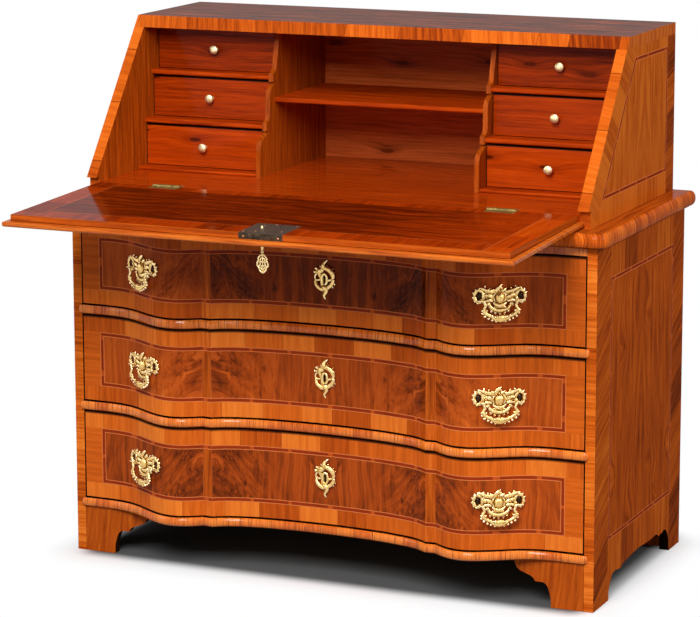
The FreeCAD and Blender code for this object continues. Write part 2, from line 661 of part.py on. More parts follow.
def make_flap(nodes):
    top = FLOOR_Z
    low = FLOOR_Z - FLAP_T
    lip = FLOOR_Z - FLAP_REBATE
    x0 = FLAP_EDGE
    x1 = WIDTH - FLAP_EDGE
    rear = HINGE_Y - EDGE_GAP
    y = FLAP_FRONT + KEY_BACK
    lock_x = MID + LOCK_OFF
    lock_end = FLAP_FRONT + LOCK_LEN
    lock = box(lock_x - LOCK_W / 2, lock_x + LOCK_W / 2, FLAP_FRONT, lock_end, top - LOCK_T, top)
    panel = box(x0, x1, FLAP_FRONT, rear, low, top)
    tools = hinge_space(-1) + [lock, key_way(low - 1, top, KEY_CLEAR)]
    tools.append(box(x0 - 1, x0 + LIP_IN, FLAP_FRONT - 1, rear + 1, low - 1, lip))
    tools.append(box(x1 - LIP_IN, x1 + 1, FLAP_FRONT - 1, rear + 1, low - 1, lip))
    tools.append(box(x0 - 1, x1 + 1, FLAP_FRONT - 1, FLAP_FRONT + LIP_IN, low - 1, lip))
    nodes["flap_panel"] = cut(panel, tools)

    out_x = x0 - LIP_SIDE
    out_y = FLAP_FRONT - LIP_FRONT
    strip = box(out_x, x0 + LIP_IN, out_y, rear, low, lip)
    thick = lip - low
    rounded = min(LIP_ROUND, 0.6 * thick)
    eased = min(LIP_EASE, 0.3 * thick)
    strip = strip.makeFillet(rounded, [e for e in strip.Edges if edge_on(e, x=out_x, z=low)])
    strip = strip.makeFillet(eased, [e for e in strip.Edges if edge_on(e, x=out_x, z=lip)])
    bar = box(out_x, WIDTH - out_x, out_y, FLAP_FRONT + LIP_IN, low, lip)
    bar = bar.makeFillet(rounded, [e for e in bar.Edges if edge_on(e, y=out_y, z=low)])
    bar = bar.makeFillet(eased, [e for e in bar.Edges if edge_on(e, y=out_y, z=lip)])
    far = 2.0
    dx = (LIP_SIDE + LIP_IN) * far
    dy = (LIP_FRONT + LIP_IN) * far
    mitre = [vec(out_x, out_y, low - 1), vec(out_x + dx, out_y + dy, low - 1),
             vec(out_x + dx, out_y - 1, low - 1), vec(out_x, out_y - 1, low - 1)]
    wedge = Part.Face(Part.makePolygon(mitre + mitre[:1])).extrude(vec(0, 0, FLAP_T))
    strip = strip.cut(wedge)
    far_x = out_x + LIP_SIDE + LIP_IN
    corner = box(out_x - 1, far_x, out_y - 1, FLAP_FRONT + LIP_IN + 1, low - 1, lip + 1)
    ends = corner.cut(wedge)
    bar = bar.cut(Part.makeCompound([ends, mirrored(ends)]))
    nodes["flap_lipping"] = [strip, mirrored(strip), bar]

    leaves = [hinge_leaf(x, -1) for x in (HINGE_X, WIDTH - HINGE_X)]
    for x in (HINGE_X, WIDTH - HINGE_X):
        leaves += hinge_screws(x, -1)
    nodes["hinge_flap_leaves"] = leaves

    bit_z = top - BIT_IN - BIT_H
    works = rod(MID, y, bit_z - GAP, vec(0, 0, 1), BIT_REACH + KEY_CLEAR, BIT_H + 2 * GAP)
    way = key_way(top - LOCK_T - 1, top - BIT_IN + GAP, KEY_CLEAR)
    travel = flap_bolt(GAP).translated(vec(0, -BOLT_THROW, 0))
    nodes["flap_lock_case"] = cut(lock, [flap_bolt(GAP), travel, works, way])
    nodes["flap_lock_bolt"] = flap_bolt(0)

    plate_z = low - FLAP_PLATE_T
    half = FLAP_PLATE_W / 2
    plate = rod(MID, y, plate_z, vec(0, 0, 1), FLAP_PLATE_R, FLAP_PLATE_T)
    plate = plate.common(box(MID - half, MID + half, y - FLAP_PLATE_R, y + FLAP_PLATE_R, plate_z, low))
    nodes["flap_escutcheon"] = plate.cut(key_way(plate_z - 1, low + 1, KEY_CLEAR))

    shank_z = low - KEY_SHANK
    shank = rod(MID, y, shank_z, vec(0, 0, 1), KEY_R, top - BIT_IN - shank_z)
    bit = box(MID, MID + BIT_REACH, y - BIT_T / 2, y + BIT_T / 2, bit_z, bit_z + BIT_H)
    collar = rod(MID, y, low - COLLAR_DROP, vec(0, 0, 1), KEY_R + COLLAR_STEP, COLLAR_H)
    bow_y = y - KEY_BOW_T / 2
    bow_z = shank_z - KEY_BOW_H / 2 + KEY_BOW_LAP
    bow = oval(MID, bow_y, bow_z, KEY_BOW_W / 2, KEY_BOW_H / 2, KEY_BOW_T)
    for x in (MID - BOW_WINDOW_X, MID + BOW_WINDOW_X):
        window_z = bow_z - BOW_WINDOW_DROP
        bow = bow.cut(oval(x, bow_y, window_z, BOW_WINDOW_W / 2, BOW_WINDOW_H / 2, KEY_BOW_T))
    nodes["flap_key"] = fused([shank, bit, collar, bow])

    leaves = [hinge_leaf(x, 1) for x in (HINGE_X, WIDTH - HINGE_X)]
    for x in (HINGE_X, WIDTH - HINGE_X):
        leaves += hinge_screws(x, 1)
        leaves.append(rod(x - HINGE_LEN / 2, HINGE_Y, FLOOR_Z, vec(1, 0, 0), PIN_R, HINGE_LEN))
    nodes["hinge_floor_leaves"] = leaves


def oval(x, y, z, half_w, half_h, thick):
    """An upright elliptical plate, thick along Y."""
    tall = half_h > half_w
    major = vec(x, y, z + half_h) if tall else vec(x + half_w, y, z)
    minor = vec(x + half_w, y, z) if tall else vec(x, y, z + half_h)
    curve = Part.Ellipse(major, minor, vec(x, y, z))
    return Part.Face(Part.Wire(curve.toShape())).extrude(vec(0, thick, 0))


def edge_on(edge, x=None, y=None, z=None):
    """Whether an edge lies on all the given planes."""
    b = edge.BoundBox
    near = [(b.XMin, b.XMax, x), (b.YMin, b.YMax, y), (b.ZMin, b.ZMax, z)]
    return all(v is None or (abs(lo - v) < 0.01 and abs(hi - v) < 0.01) for lo, hi, v in near)


def drawer_bolt(top, grow, rise):
    """A drawer lock's bolt under height top, or with grow and rise the room for it."""
    y = FRONT_T - DRAWER_BOLT_IN
    half = DRAWER_BOLT_W / 2 + grow
    low = top - DRAWER_BOLT_H - grow
    return box(MID - half, MID + half, y - grow, y + DRAWER_BOLT_T + grow, low, top + rise)


def closed_outline(points):
    """A flat face inside a smooth closed curve through the points, cut into short straight edges."""
    curve = Part.BSplineCurve()
    curve.interpolate(Points=points, PeriodicFlag=True)
    corners = curve.discretize(Number=OUTLINE_SIDES + 1)[:-1]
    return Part.Face(Part.makePolygon(corners + corners[:1]))


def handle_plate_points():
    near = [(0, 33), (7, 36), (13, 27), (22, 24)]
    ear = [(-9, 23), (0, 20), (9, 20), (15, 10), (12, -2), (4, -8), (-5, -5), (-13, -9)]
    half = near + [(POST_SPREAD + s, z) for s, z in ear] + [(18, -17), (8, -18)]
    rest = [(-s, z) for s, z in reversed(half) if s]
    return half + [(0, -20)] + rest


def escutcheon_points():
    return [(2, 40), (9, 34), (8, 25), (17, 22), (21, 12), (17, 4), (20, -6), (15, -16), (8, -24),
            (3, -37), (-4, -38), (-7, -26), (-15, -19), (-20, -9), (-16, 2), (-20, 11), (-15, 21),
            (-8, 24), (-9, 33), (-3, 36)]


def handle(x, z, band, backing):
    """The handle at x and height z: its fixed brass, its bail and the holes for its studs."""
    y, turn = front_at(x)
    flat = [vec(s, 0, h) for s, h in handle_plate_points()]
    shape = closed_outline(flat).extrude(vec(0, 2 * BOW, 0)).translated(vec(0, -BOW, 0))
    axis_z = BAIL_AXIS_Z
    posts = []
    studs = []
    holes = []
    out = vec(0, -1, 0)
    for off in (-POST_SPREAD, POST_SPREAD):
        post = rod(off, STUD_LEN, axis_z, out, POST_R, STUD_LEN + POST_OUT)
        ball = Part.makeSphere(POST_R + POST_BALL, vec(off, -POST_OUT, axis_z))
        posts.append(fused([post, ball]))
        studs.append(rod(off, STUD_LEN, axis_z, out, STUD_R, STUD_LEN + POST_OUT / 2))
        holes.append(rod(off, STUD_LEN + STUD_GAP, axis_z, out, STUD_R + STUD_GAP, 2 * STUD_LEN))
    reach = POST_SPREAD + POST_R + POST_BALL + BAIL_PIN_END
    bore = rod(-2 * reach, -POST_OUT, axis_z, vec(1, 0, 0), BAIL_PIN_R + FIT, 4 * reach)

    def at(s, drop):
        return vec(s, -POST_OUT, axis_z - drop)
    low = BAIL_H - BAIL_CORNER
    flat = BAIL_W - BAIL_CORNER
    path = [Part.makeLine(at(-BAIL_W, 0), at(-BAIL_W, low)),
            arc_from(at(-BAIL_W, low), at(-BAIL_W, BAIL_H), at(-flat, BAIL_H)),
            Part.makeLine(at(-flat, BAIL_H), at(flat, BAIL_H)),
            arc_from(at(flat, BAIL_H), at(BAIL_W, BAIL_H), at(BAIL_W, low)),
            Part.makeLine(at(BAIL_W, low), at(BAIL_W, 0))]
    ring = Part.Wire(Part.makeCircle(BAIL_R, at(-BAIL_W, 0), vec(0, 0, 1)))
    parts = [Part.Wire(path).makePipeShell([ring], True, False)]
    for side in (-1, 1):
        parts.append(Part.makeSphere(BAIL_R, at(side * BAIL_W, 0)))
        pin = rod(side * BAIL_W, -POST_OUT, axis_z, vec(side, 0, 0), BAIL_PIN_R, reach - BAIL_W)
        parts.append(pin)
    bail = fused(parts)

    def place(s):
        s = s.copy()
        s.rotate(vec(0, 0, 0), vec(0, 0, 1), turn)
        s.translate(vec(x, y, z))
        return s
    plate = place(shape).common(band)
    posts = [place(p).cut(backing) for p in posts]
    studs = [place(s).common(backing) for s in studs]
    brass = fused([plate] + posts).cut(place(bore))
    return [brass] + studs, place(bail), [place(h) for h in holes]


def make_drawer(nodes, name, rail_z, roof):
    rest = rail_z + RAIL_T
    z0 = rest + DRAWER_UNDER
    z1 = roof - DRAWER_OVER
    x0 = SIDE_T + DRAWER_GAP
    x1 = WIDTH - x0
    mid = (z0 + z1) / 2
    front = front_band(0, FRONT_T, x0, x1, z0, z1)
    brass_band = front_band(-GAP - PLATE_T, -GAP, x0, x1, z0, z1)
    backing = front_band(-GAP, FRONT_T, x0, x1, z0, z1)
    handle_z = mid - HANDLE_DROP
    left, left_bail, holes = handle(HANDLE_X, handle_z, brass_band, backing)
    right, right_bail, more = handle(WIDTH - HANDLE_X, handle_z, brass_band, backing)
    lock_back = FRONT_T + DRAWER_LOCK_PROUD
    lock_y = lock_back - DRAWER_LOCK_T
    half = DRAWER_LOCK_W / 2
    lock = box(MID - half, MID + half, lock_y, lock_back, z1 - DRAWER_LOCK_H, z1)
    hole = keyhole(MID, mid + KEYHOLE_RISE, -GAP - 2 * PLATE_T, lock_y + KEYHOLE_IN)
    tools = holes + more + [lock, hole]
    nodes[name + "_front"] = cut(front, tools)

    side = box(x0, x0 + BOX_T, FRONT_T, BOX_BACK, rest + GAP, z1 - BOX_DROP)
    inner = x0 + BOX_T
    low = z0 + BOX_BOTTOM_UP
    back = box(inner, WIDTH - inner, BOX_BACK - BOX_T, BOX_BACK, low, z1 - BOX_DROP)
    bottom = front_slab(FRONT_T, BOX_BACK - BOX_T, inner, WIDTH - inner, low, low + BOX_BOTTOM_T)
    nodes[name + "_box"] = [side, mirrored(side), back, bottom]

    flat = [vec(MID + s, 0, mid + ESCUTCHEON_RISE + h) for s, h in escutcheon_points()]
    plate = closed_outline(flat).extrude(vec(0, 2 * BOW, 0)).translated(vec(0, -BOW, 0))
    plate = plate.common(brass_band).cut(hole)
    nodes[name + "_brasses"] = left + right + [plate]

    bolt_top = z1 - DRAWER_BOLT_DROP
    nodes[name + "_lock"] = cut(lock, [drawer_bolt(bolt_top, GAP, MORTISE_SPARE), hole])
    nodes[name + "_lock_bolt"] = drawer_bolt(bolt_top, 0, 0)
    nodes[name + "_left_bail"] = left_bail
    nodes[name + "_right_bail"] = right_bail


def make_small_drawer(nodes, name, tier):
    z0 = FLOOR_Z + TIER_Z[tier] + GAP
    roof = DESK_UNDER if tier == 2 else FLOOR_Z + TIER_Z[tier + 1] - SHELF_T
    z1 = roof - SMALL_OVER
    x0 = DESK_X0 + SMALL_GAP
    x1 = PARTITION_X - SMALL_GAP
    face = TIER_FACE[tier]
    y = face + SMALL_FRONT_T
    knob_x = (x0 + x1) / 2
    knob_z = (z0 + z1) / 2
    shank = rod(knob_x, face, knob_z, vec(0, 1, 0), KNOB_SHANK_R, KNOB_SHANK)
    front = box(x0, x1, face, y, z0, z1).cut(shank)
    rim = z1 - SMALL_DROP
    side = box(x0, x0 + SMALL_T, y, SMALL_BACK, z0, rim)
    other = side.translated(vec(x1 - x0 - SMALL_T, 0, 0))
    inner = x0 + SMALL_T
    outer = x1 - SMALL_T
    low = z0 + SMALL_BOTTOM_UP
    back = box(inner, outer, SMALL_BACK - SMALL_T, SMALL_BACK, z0, rim)
    bottom = box(inner, outer, y, SMALL_BACK - SMALL_T, low, low + SMALL_BOTTOM_T)
    turned = [(0, 0), (0.62, 0), (0.55, 0.125), (0.42, 0.31), (0.8, 0.5), (1, 0.66), (0.94, 0.84),
              (0.5, 0.97), (0, 1)]
    turned = [vec(knob_x + KNOB_R * r, face - KNOB_OUT * s, knob_z) for r, s in turned]
    knob = Part.Face(Part.makePolygon(turned + turned[:1]))
    knob = knob.revolve(vec(knob_x, face, knob_z), vec(0, 1, 0), 360)
    box_parts = [front, side, other, back, bottom]
    knob = fused([knob, shank])
    nodes["left_" + name + "_small_drawer"] = box_parts
    nodes["left_" + name + "_knob"] = knob
    nodes["right_" + name + "_small_drawer"] = [mirrored(s) for s in box_parts]
    nodes["right_" + name + "_knob"] = mirrored(knob)


FLAP_NODES = ["flap_panel", "flap_lipping", "hinge_flap_leaves", "flap_lock_case", "flap_lock_bolt",
              "flap_escutcheon", "flap_key"]


def main():
    nodes = {}
    make_case(nodes)
    make_desk(nodes)
    make_flap(nodes)
    names = ("top_drawer", "middle_drawer", "bottom_drawer")
    roofs = (TOP_RAIL_Z, RAIL_Z[2], RAIL_Z[1])
    for name, rail_z, roof in zip(names, reversed(RAIL_Z), roofs):
        make_drawer(nodes, name, rail_z, roof)
    for tier, name in enumerate(("lower", "middle", "upper")):
        make_small_drawer(nodes, name, tier)

    whole = FreeCAD.BoundBox()
    shapes = {}
    for name, made in nodes.items():
        shape = Part.makeCompound(made) if isinstance(made, list) else made
        if name in FLAP_NODES:
            shape.rotate(vec(0, HINGE_Y, FLOOR_Z), vec(1, 0, 0), FLAP_DROP)
        shapes[name] = shape
        if name in ("flap_lipping", "desk_top", "feet"):
            whole.add(shape.optimalBoundingBox(False))
    origin = vec(-MID, -(whole.YMin + whole.YMax) / 2, 0)
    os.makedirs("parts", exist_ok=True)
    for name, shape in shapes.items():
        shape.translate(origin)
        shape.exportStep("parts/" + name + ".step")
    print("origin moved by", origin)


if __name__ == "__main__":
    main()
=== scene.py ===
"""The looks of a slant-front escritoire: veneers, polish, cast brasses, light and camera."""
import json
import math

import bmesh
import bpy
import numpy as np
from mathutils import Matrix, Vector
from mathutils.bvhtree import BVHTree

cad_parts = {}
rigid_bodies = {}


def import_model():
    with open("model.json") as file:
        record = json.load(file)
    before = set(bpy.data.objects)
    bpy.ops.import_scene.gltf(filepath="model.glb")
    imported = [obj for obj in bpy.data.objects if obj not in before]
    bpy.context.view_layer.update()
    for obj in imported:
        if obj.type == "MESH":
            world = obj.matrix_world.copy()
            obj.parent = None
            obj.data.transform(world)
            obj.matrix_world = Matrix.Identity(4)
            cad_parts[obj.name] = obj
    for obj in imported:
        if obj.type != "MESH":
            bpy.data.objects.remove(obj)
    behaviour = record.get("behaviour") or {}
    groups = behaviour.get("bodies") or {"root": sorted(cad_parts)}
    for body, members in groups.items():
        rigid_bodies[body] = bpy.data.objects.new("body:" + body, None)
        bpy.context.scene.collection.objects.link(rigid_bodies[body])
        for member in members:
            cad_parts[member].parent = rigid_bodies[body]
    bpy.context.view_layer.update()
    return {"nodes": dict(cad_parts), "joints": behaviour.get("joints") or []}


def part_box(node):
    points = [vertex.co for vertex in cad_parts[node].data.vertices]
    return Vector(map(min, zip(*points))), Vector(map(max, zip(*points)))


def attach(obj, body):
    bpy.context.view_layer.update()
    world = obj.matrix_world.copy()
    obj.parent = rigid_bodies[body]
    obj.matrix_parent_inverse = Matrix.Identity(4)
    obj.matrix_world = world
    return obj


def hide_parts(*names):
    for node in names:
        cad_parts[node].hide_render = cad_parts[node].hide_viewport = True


MM = 0.001
MM_PER_M = 1000.0

for stray in list(bpy.data.objects):
    bpy.data.objects.remove(stray)
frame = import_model()
nodes = frame["nodes"]
scene = bpy.context.scene
joints = {made["name"]: made for made in frame["joints"]}
# the hinge line of the open flap, and the directions up from its inner face and out from the hinge
hinge = Vector(joints["flap_hinge"]["pos_m"])
flap_up = Vector(joints["flap_key_turn"]["axis"])
flap_out = Vector(joints["flap_bolt_slide"]["axis"])


# Finishes

def tint(r, g, b):
    """A colour as seen, 0 to 255 a channel, as the linear numbers that shaders take."""
    def linear(c):
        c /= 255
        return c / 12.92 if c <= 0.04045 else ((c + 0.055) / 1.055) ** 2.4
    return linear(r), linear(g), linear(b)


class Val:
    """A socket of a node tree. Operators on it add Math nodes."""

    def __init__(self, owner, socket):
        self.owner = owner
        self.socket = socket

    def math(self, operation, *values):
        return self.owner.node("ShaderNodeMath", {"operation": operation}, dict(enumerate(values)))

    def __add__(self, other):
        return self.math("ADD", self, other)

    __radd__ = __add__

    def __sub__(self, other):
        return self.math("SUBTRACT", self, other)

    def __rsub__(self, other):
        return self.math("SUBTRACT", other, self)

    def __mul__(self, other):
        return self.math("MULTIPLY", self, other)

    __rmul__ = __mul__

    def __truediv__(self, other):
        return self.math("DIVIDE", self, other)

    def __rtruediv__(self, other):
        return self.math("DIVIDE", other, self)

    def __gt__(self, other):
        return self.math("GREATER_THAN", self, other)

    def __lt__(self, other):
        return self.math("LESS_THAN", self, other)

    def abs(self):
        return self.math("ABSOLUTE", self)

    def fract(self):
        return self.math("FRACT", self)

    def root(self):
        return self.math("SQRT", self)

    def least(self, other):
        return self.math("MINIMUM", self, other)

    def most(self, other):
        return self.math("MAXIMUM", self, other)

    def within(self, low, high):
        return (self > low) * (self < high)

    def ease(self, low, high):
        """0 below low, 1 above high, smooth between them. low may be the larger."""
        return self.owner.node("ShaderNodeMapRange", {"interpolation_type": "SMOOTHSTEP"},
                               {"Value": self, "From Min": low, "From Max": high})

    def pick(self, no, yes):
        """no where this is 0, yes where it is 1."""
        return no + (yes - no) * self


class Nodes:
    """A node tree under construction."""

    def connect(self, made, key, value):
        if isinstance(key, int):
            socket = made.inputs[key]
        else:
            socket = next(s for s in made.inputs if key in (s.identifier, s.name) and s.enabled)
        if isinstance(value, Val):
            self.tree.links.new(value.socket, socket)
        elif socket.type == "RGBA":
            socket.default_value = (*value, 1)
        else:
            socket.default_value = value

    def node(self, kind, settings=None, sockets=None, out=0):
        made = self.tree.nodes.new(kind)
        for key, value in (settings or {}).items():
            if key == "stops":
                ramp = made.color_ramp.elements
                ramp.remove(ramp[1])
                ramp[0].position, ramp[0].color = value[0][0], (*tint(*value[0][1]), 1)
                for place, colour in value[1:]:
                    ramp.new(place).color = (*tint(*colour), 1)
            else:
                setattr(made, key, value)
        for key, value in (sockets or {}).items():
            self.connect(made, key, value)
        return Val(self, made.outputs[out])

    def mix(self, share, under, over):
        return self.node("ShaderNodeMix", {"data_type": "RGBA"},
                         {"Factor_Float": share, "A_Color": under, "B_Color": over}, out=2)

    def seen(self):
        """1 where a ray comes from the camera, or by way of metal, polish or glass."""
        path = self.node("ShaderNodeLightPath").socket.node
        camera_ray, glossy_ray, glass_ray = [
            Val(self, path.outputs[f"Is {kind} Ray"]) for kind in ("Camera", "Glossy", "Transmission")]
        return camera_ray.most(glossy_ray).most(glass_ray)


class Finish(Nodes):
    """A material under construction. Lengths in it are millimetres."""

    def __init__(self, name):
        self.material = bpy.data.materials.new(name)
        self.material.use_nodes = True
        self.tree = self.material.node_tree
        self.tree.nodes.clear()
        self.shader = self.tree.nodes.new("ShaderNodeBsdfPrincipled")
        self.surface = self.tree.nodes.new("ShaderNodeOutputMaterial")
        self.connect(self.surface, "Surface", Val(self, self.shader.outputs[0]))

    def place(self):
        """x, y and z of a point on the piece."""
        point = self.node("ShaderNodeTexCoord", out="Object")
        split = self.node("ShaderNodeSeparateXYZ", sockets={0: point}).socket.node
        return [Val(self, s) * MM_PER_M for s in split.outputs]

    def facing(self):
        """x, y and z of the surface's direction."""
        normal = self.node("ShaderNodeNewGeometry", out="True Normal")
        split = self.node("ShaderNodeSeparateXYZ", sockets={0: normal}).socket.node
        return [Val(self, s) for s in split.outputs]

    def noise(self, u, v, w, detail=2.0, rough=0.5, twist=0.0):
        point = self.node("ShaderNodeCombineXYZ", sockets={0: u, 1: v, 2: w})
        return self.node("ShaderNodeTexNoise", {"noise_dimensions": "3D"},
                         {"Vector": point, "Scale": 1.0, "Detail": detail, "Roughness": rough,
                          "Distortion": twist})

    def voronoi(self, size, feature, sockets, out=0):
        settings = {"voronoi_dimensions": size, "feature": feature}
        return self.node("ShaderNodeTexVoronoi", settings, {"Scale": 1.0, **sockets}, out)

    def blocks(self, along, width, shift=0.0):
        """Pieces of veneer of uneven width side by side: a chance number for each, and the
        distance to the nearest joint."""
        w = along / width + shift
        colour = self.voronoi("1D", "F1", {"W": w}, out="Color")
        chance = self.node("ShaderNodeSeparateColor", sockets={0: colour})
        return chance, self.voronoi("1D", "DISTANCE_TO_EDGE", {"W": w}) * width

    def ramp(self, value, *stops):
        """Colours along a value. A stop is its place and a colour as seen."""
        return self.node("ShaderNodeValToRGB", {"stops": stops}, {0: value})

    def jointed(self, colour, gap, share, half=0.4):
        """Draws dark joints between pieces of veneer. gap is the distance to the nearest one."""
        return self.mix((gap < half) * share, colour, JOINT)

    def cells(self, u, v):
        """Distance to the nearest of scattered points, about one in each unit square."""
        point = self.node("ShaderNodeCombineXYZ", sockets={0: u, 1: v, 2: 0.0})
        return self.voronoi("2D", "F1", {"Vector": point})

    def grain(self, along, across, seed, wander=26.0, broad=11.0, fine=1.3):
        """How light the wood is, about 0 to 1: broad figure with fine lines along it."""
        sway = (self.noise(along / 150.0, across / 55.0, seed, 1.0) - 0.5) * wander
        wide = self.noise(along / 170.0, (across + sway) / broad, seed, 3.0, 0.55)
        thin = self.noise(along / 34.0, (across + sway) / fine, seed, 2.0, 0.6)
        return wide * 1.25 + thin * 0.75 - 0.5

    def show(self, colour, rough=0.5, coat=0.1, coat_rough=0.1, metal=0.0, gloss=0.0, bump=None, depth=0.03):
        """Joins the shader up. bump is a height, depth its reach in millimetres."""
        for label, value in (("Base Color", colour), ("Roughness", rough), ("Metallic", metal),
                             ("Specular IOR Level", gloss), ("Coat Weight", coat),
                             ("Coat Roughness", coat_rough)):
            self.connect(self.shader, label, value)
        if bump is not None:
            normal = self.node("ShaderNodeBump", sockets={"Strength": 1.0, "Distance": depth * MM,
                                                          "Height": bump})
            self.connect(self.shader, "Normal", normal)
        return self.material


PALE = ((0.12, (122, 42, 8)), (0.36, (180, 75, 15)), (0.6, (214, 100, 25)), (0.88, (236, 128, 44)))
FIELD = ((0.08, (66, 26, 8)), (0.32, (122, 48, 13)), (0.56, (174, 73, 20)), (0.85, (208, 100, 32)))
SIDE = ((0.12, (92, 34, 6)), (0.36, (148, 60, 12)), (0.58, (182, 80, 17)), (0.88, (214, 110, 30)))
FRUIT = ((0.1, (84, 22, 2)), (0.36, (146, 45, 4)), (0.6, (180, 62, 6)), (0.9, (208, 88, 14)))
BOARD = ((0.15, (120, 48, 18)), (0.5, (198, 90, 38)), (0.85, (220, 112, 54)))
INNER = ((0.1, (70, 26, 3)), (0.36, (130, 52, 7)), (0.6, (168, 72, 11)), (0.9, (200, 98, 22)))
BAND_DARK = tint(148, 48, 13)
BAND_LIGHT = tint(196, 82, 24)
STRINGING = tint(224, 128, 70)
JOINT = tint(92, 34, 9)
SHADE = tint(26, 9, 3)

# lengths of the veneers' patterns, in millimetres
END_BORDER, TOP_BORDER, BOTTOM_BORDER = 38.0, 32.0, 30.0
BREAK_AT, BREAK_HALF = 240.0, 10.0
STRING, BAND, SIDE_BAND, BAND_PERIOD = 1.6, 5.8, 5.4, 88.0
BLOCK = 84.0
# a face looks along an axis when its direction has more than this on it, a slanting one too
SQUARE, SLANTED = 0.7, 0.4
# how far past a board's inner face its inner colour, or on the case sides its painted shade, reaches
SKIN = 0.5


def span(name):
    """The low and high corners of a CAD node, in millimetres."""
    low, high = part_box(name)
    return low * MM_PER_M, high * MM_PER_M


def inlaid_ring(f, rim, run, base, width=BAND):
    """Lays an inlaid band between two light strings over base. rim counts inwards from its edge."""
    drift = f.noise(run / 110.0, 0.0, 5.0, 1.0) * 1.6
    segment = (run / BAND_PERIOD + drift).fract() < 0.88
    streak = f.noise(run / 40.0, rim / 1.4, 3.0, 3.0)
    band = f.mix(segment, BAND_LIGHT, BAND_DARK)
    band = f.mix(streak.ease(0.5, 0.72) * 0.5, band, tint(96, 24, 8))
    band = f.mix(streak.ease(0.45, 0.28) * 0.5, band, tint(186, 70, 24))
    inner = STRING + width
    colour = f.mix(rim.within(STRING, inner), base, band)
    strings = rim.within(0.0, STRING).most(rim.within(inner, inner + STRING))
    return f.mix(strings * 0.75, colour, STRINGING)


def drawer_front(name, box, seed, outer, inner, lean):
    """Serpentine front. outer and inner lift the side and middle leaves, partly as painted shade; lean is
    painted light that lifts the right end over the left.
    """
    f = Finish(name)
    x, _, z = f.place()
    nz = f.facing()[2]
    end = box[1].x - x.abs()
    upper = (box[1].z - TOP_BORDER) - z
    lower = z - (box[0].z + BOTTOM_BORDER)
    level = upper.least(lower)
    rim = (end - END_BORDER).least(level)
    upright = (end - END_BORDER) < level
    # crossbanding: upright grain above and below, level grain at the ends between them
    ends = (end < END_BORDER) * (level > 0.0)
    upper_shift = 37.0
    chance, joint = f.blocks(ends.pick(x + (upper < 0.0) * upper_shift, z), BLOCK, seed * 5.3)
    tone = f.grain(ends.pick(z, x), ends.pick(x, z), chance * 9.0 + 2.0, 10.0, 8.0, 1.1)
    cross = f.ramp(tone * 0.42 + chance * 0.45 + 0.16, *PALE)
    cross = f.jointed(cross, joint, 0.5)
    # field: matched leaves that open like a book from the two break strips
    leaf = (x.abs() - BREAK_AT).abs()
    middle = x.abs() < BREAK_AT
    flame = leaf.ease(165.0, 15.0)
    rise = z + leaf * 0.8
    plume = f.noise(leaf / 64.0, rise / 90.0, seed, 3.0, 0.5, 1.5)
    curl = f.grain(z - leaf * 0.6 + plume * 60.0, rise * 0.7 + plume * 90.0, seed + 2.0, 30.0, 12.0, 2.2)
    vein = plume.ease(0.475, 0.5) * plume.ease(0.53, 0.5) + plume.ease(0.59, 0.61) * plume.ease(0.64, 0.61)
    plain = f.grain(z, leaf, seed + 5.0, 34.0, 10.0, 1.6) * 0.62 + 0.21
    cloud = f.noise(leaf / 60.0, rise / 75.0, seed + 11.0, 3.0, 0.55, 0.8)
    blot = f.noise(leaf / 11.0, z / 38.0, seed + 4.0, 3.0, 0.6, 0.8).ease(0.56, 0.72)
    blot = blot * f.noise(leaf / 60.0, z / 90.0, seed + 8.0, 1.0).ease(0.45, 0.6)
    tone = plain * (1.0 - flame * 0.75) + curl * flame * 0.75
    shade = cloud.ease(0.47, 0.66) * flame.pick(0.06, 0.18) + vein * flame * 0.14
    shade = shade + blot * middle.pick(0.06, 0.24)
    # outer and inner partly paint the flap's shade, lean paints light falling more on one end
    field = f.ramp(tone - shade + middle.pick(outer, inner) + x / box[1].x * lean, *FIELD)
    strip = leaf < BREAK_HALF
    strip_tone = f.grain(z, x, 31.0, 8.0, 6.0, 1.0)
    field = f.mix(strip, field, f.ramp(strip_tone + 0.04, *SIDE))
    cross = f.mix(strip * 0.75, cross, f.ramp(strip_tone + 0.08, *PALE))
    colour = f.mix(rim > 0.0, cross, field)
    colour = inlaid_ring(f, rim, upright.pick(x, z), colour)
    seams = (leaf - BREAK_HALF).abs() < 0.5
    colour = f.mix(seams * 0.4, colour, tint(206, 104, 50))
    # painted shade: a dark line at the front's ends, and a painted shadow of the rail's nose along its top
    shaded = (end < 0.8).most((box[1].z - z).ease(4.5, 0.5) * 0.9)
    colour = f.mix(shaded, colour, SHADE)
    # top and bottom faces dark brown: their wood, darkened as painted shade of the gap between drawer and
    # rail
    edge = f.ramp(strip_tone, (0.1, (40, 19, 8)), (0.8, (96, 50, 22)))
    colour = f.mix(nz.abs() > SQUARE, colour, edge)
    return f.show(colour, rough=0.5, coat=0.09, coat_rough=0.12, bump=tone)


def cross_grain(name, along, lift, coat, top_shade, spread):
    """A moulding covered in short pieces of veneer with the grain across it."""
    f = Finish(name)
    x, y, z = f.place()
    nz = f.facing()[2]
    run = along(x, y)
    chance, joint = f.blocks(run, width=36.0)
    wide = f.noise(run / 6.0, z / 55.0, chance * 7.0, 3.0, 0.6)
    thin = f.noise(run / 1.1, z / 26.0, 2.0, 2.0, 0.6)
    streak = f.noise(run / 2.4, z / 60.0, 8.0, 2.0, 0.7).ease(0.52, 0.68)
    tone = wide * 1.1 + thin * 0.5 + (chance - 0.5) * spread - 0.3 + lift
    colour = f.ramp(tone, *PALE)
    colour = f.mix(streak * 0.72, colour, tint(104, 38, 10))
    colour = f.jointed(colour, joint, 0.5)
    # painted shade: undersides go dark, and so do top faces by the share given, standing in for the shade in
    # the gap behind a rail's nose
    colour = f.mix(nz.ease(-0.5, -0.95).most(nz.ease(0.88, 0.97) * top_shade), colour, SHADE)
    ripple = f.noise(run / 13.0, z / 13.0, 4.0, 2.0)
    return f.show(colour, 0.45, coat, coat_rough=0.14, bump=ripple + thin * 0.05, depth=0.15)


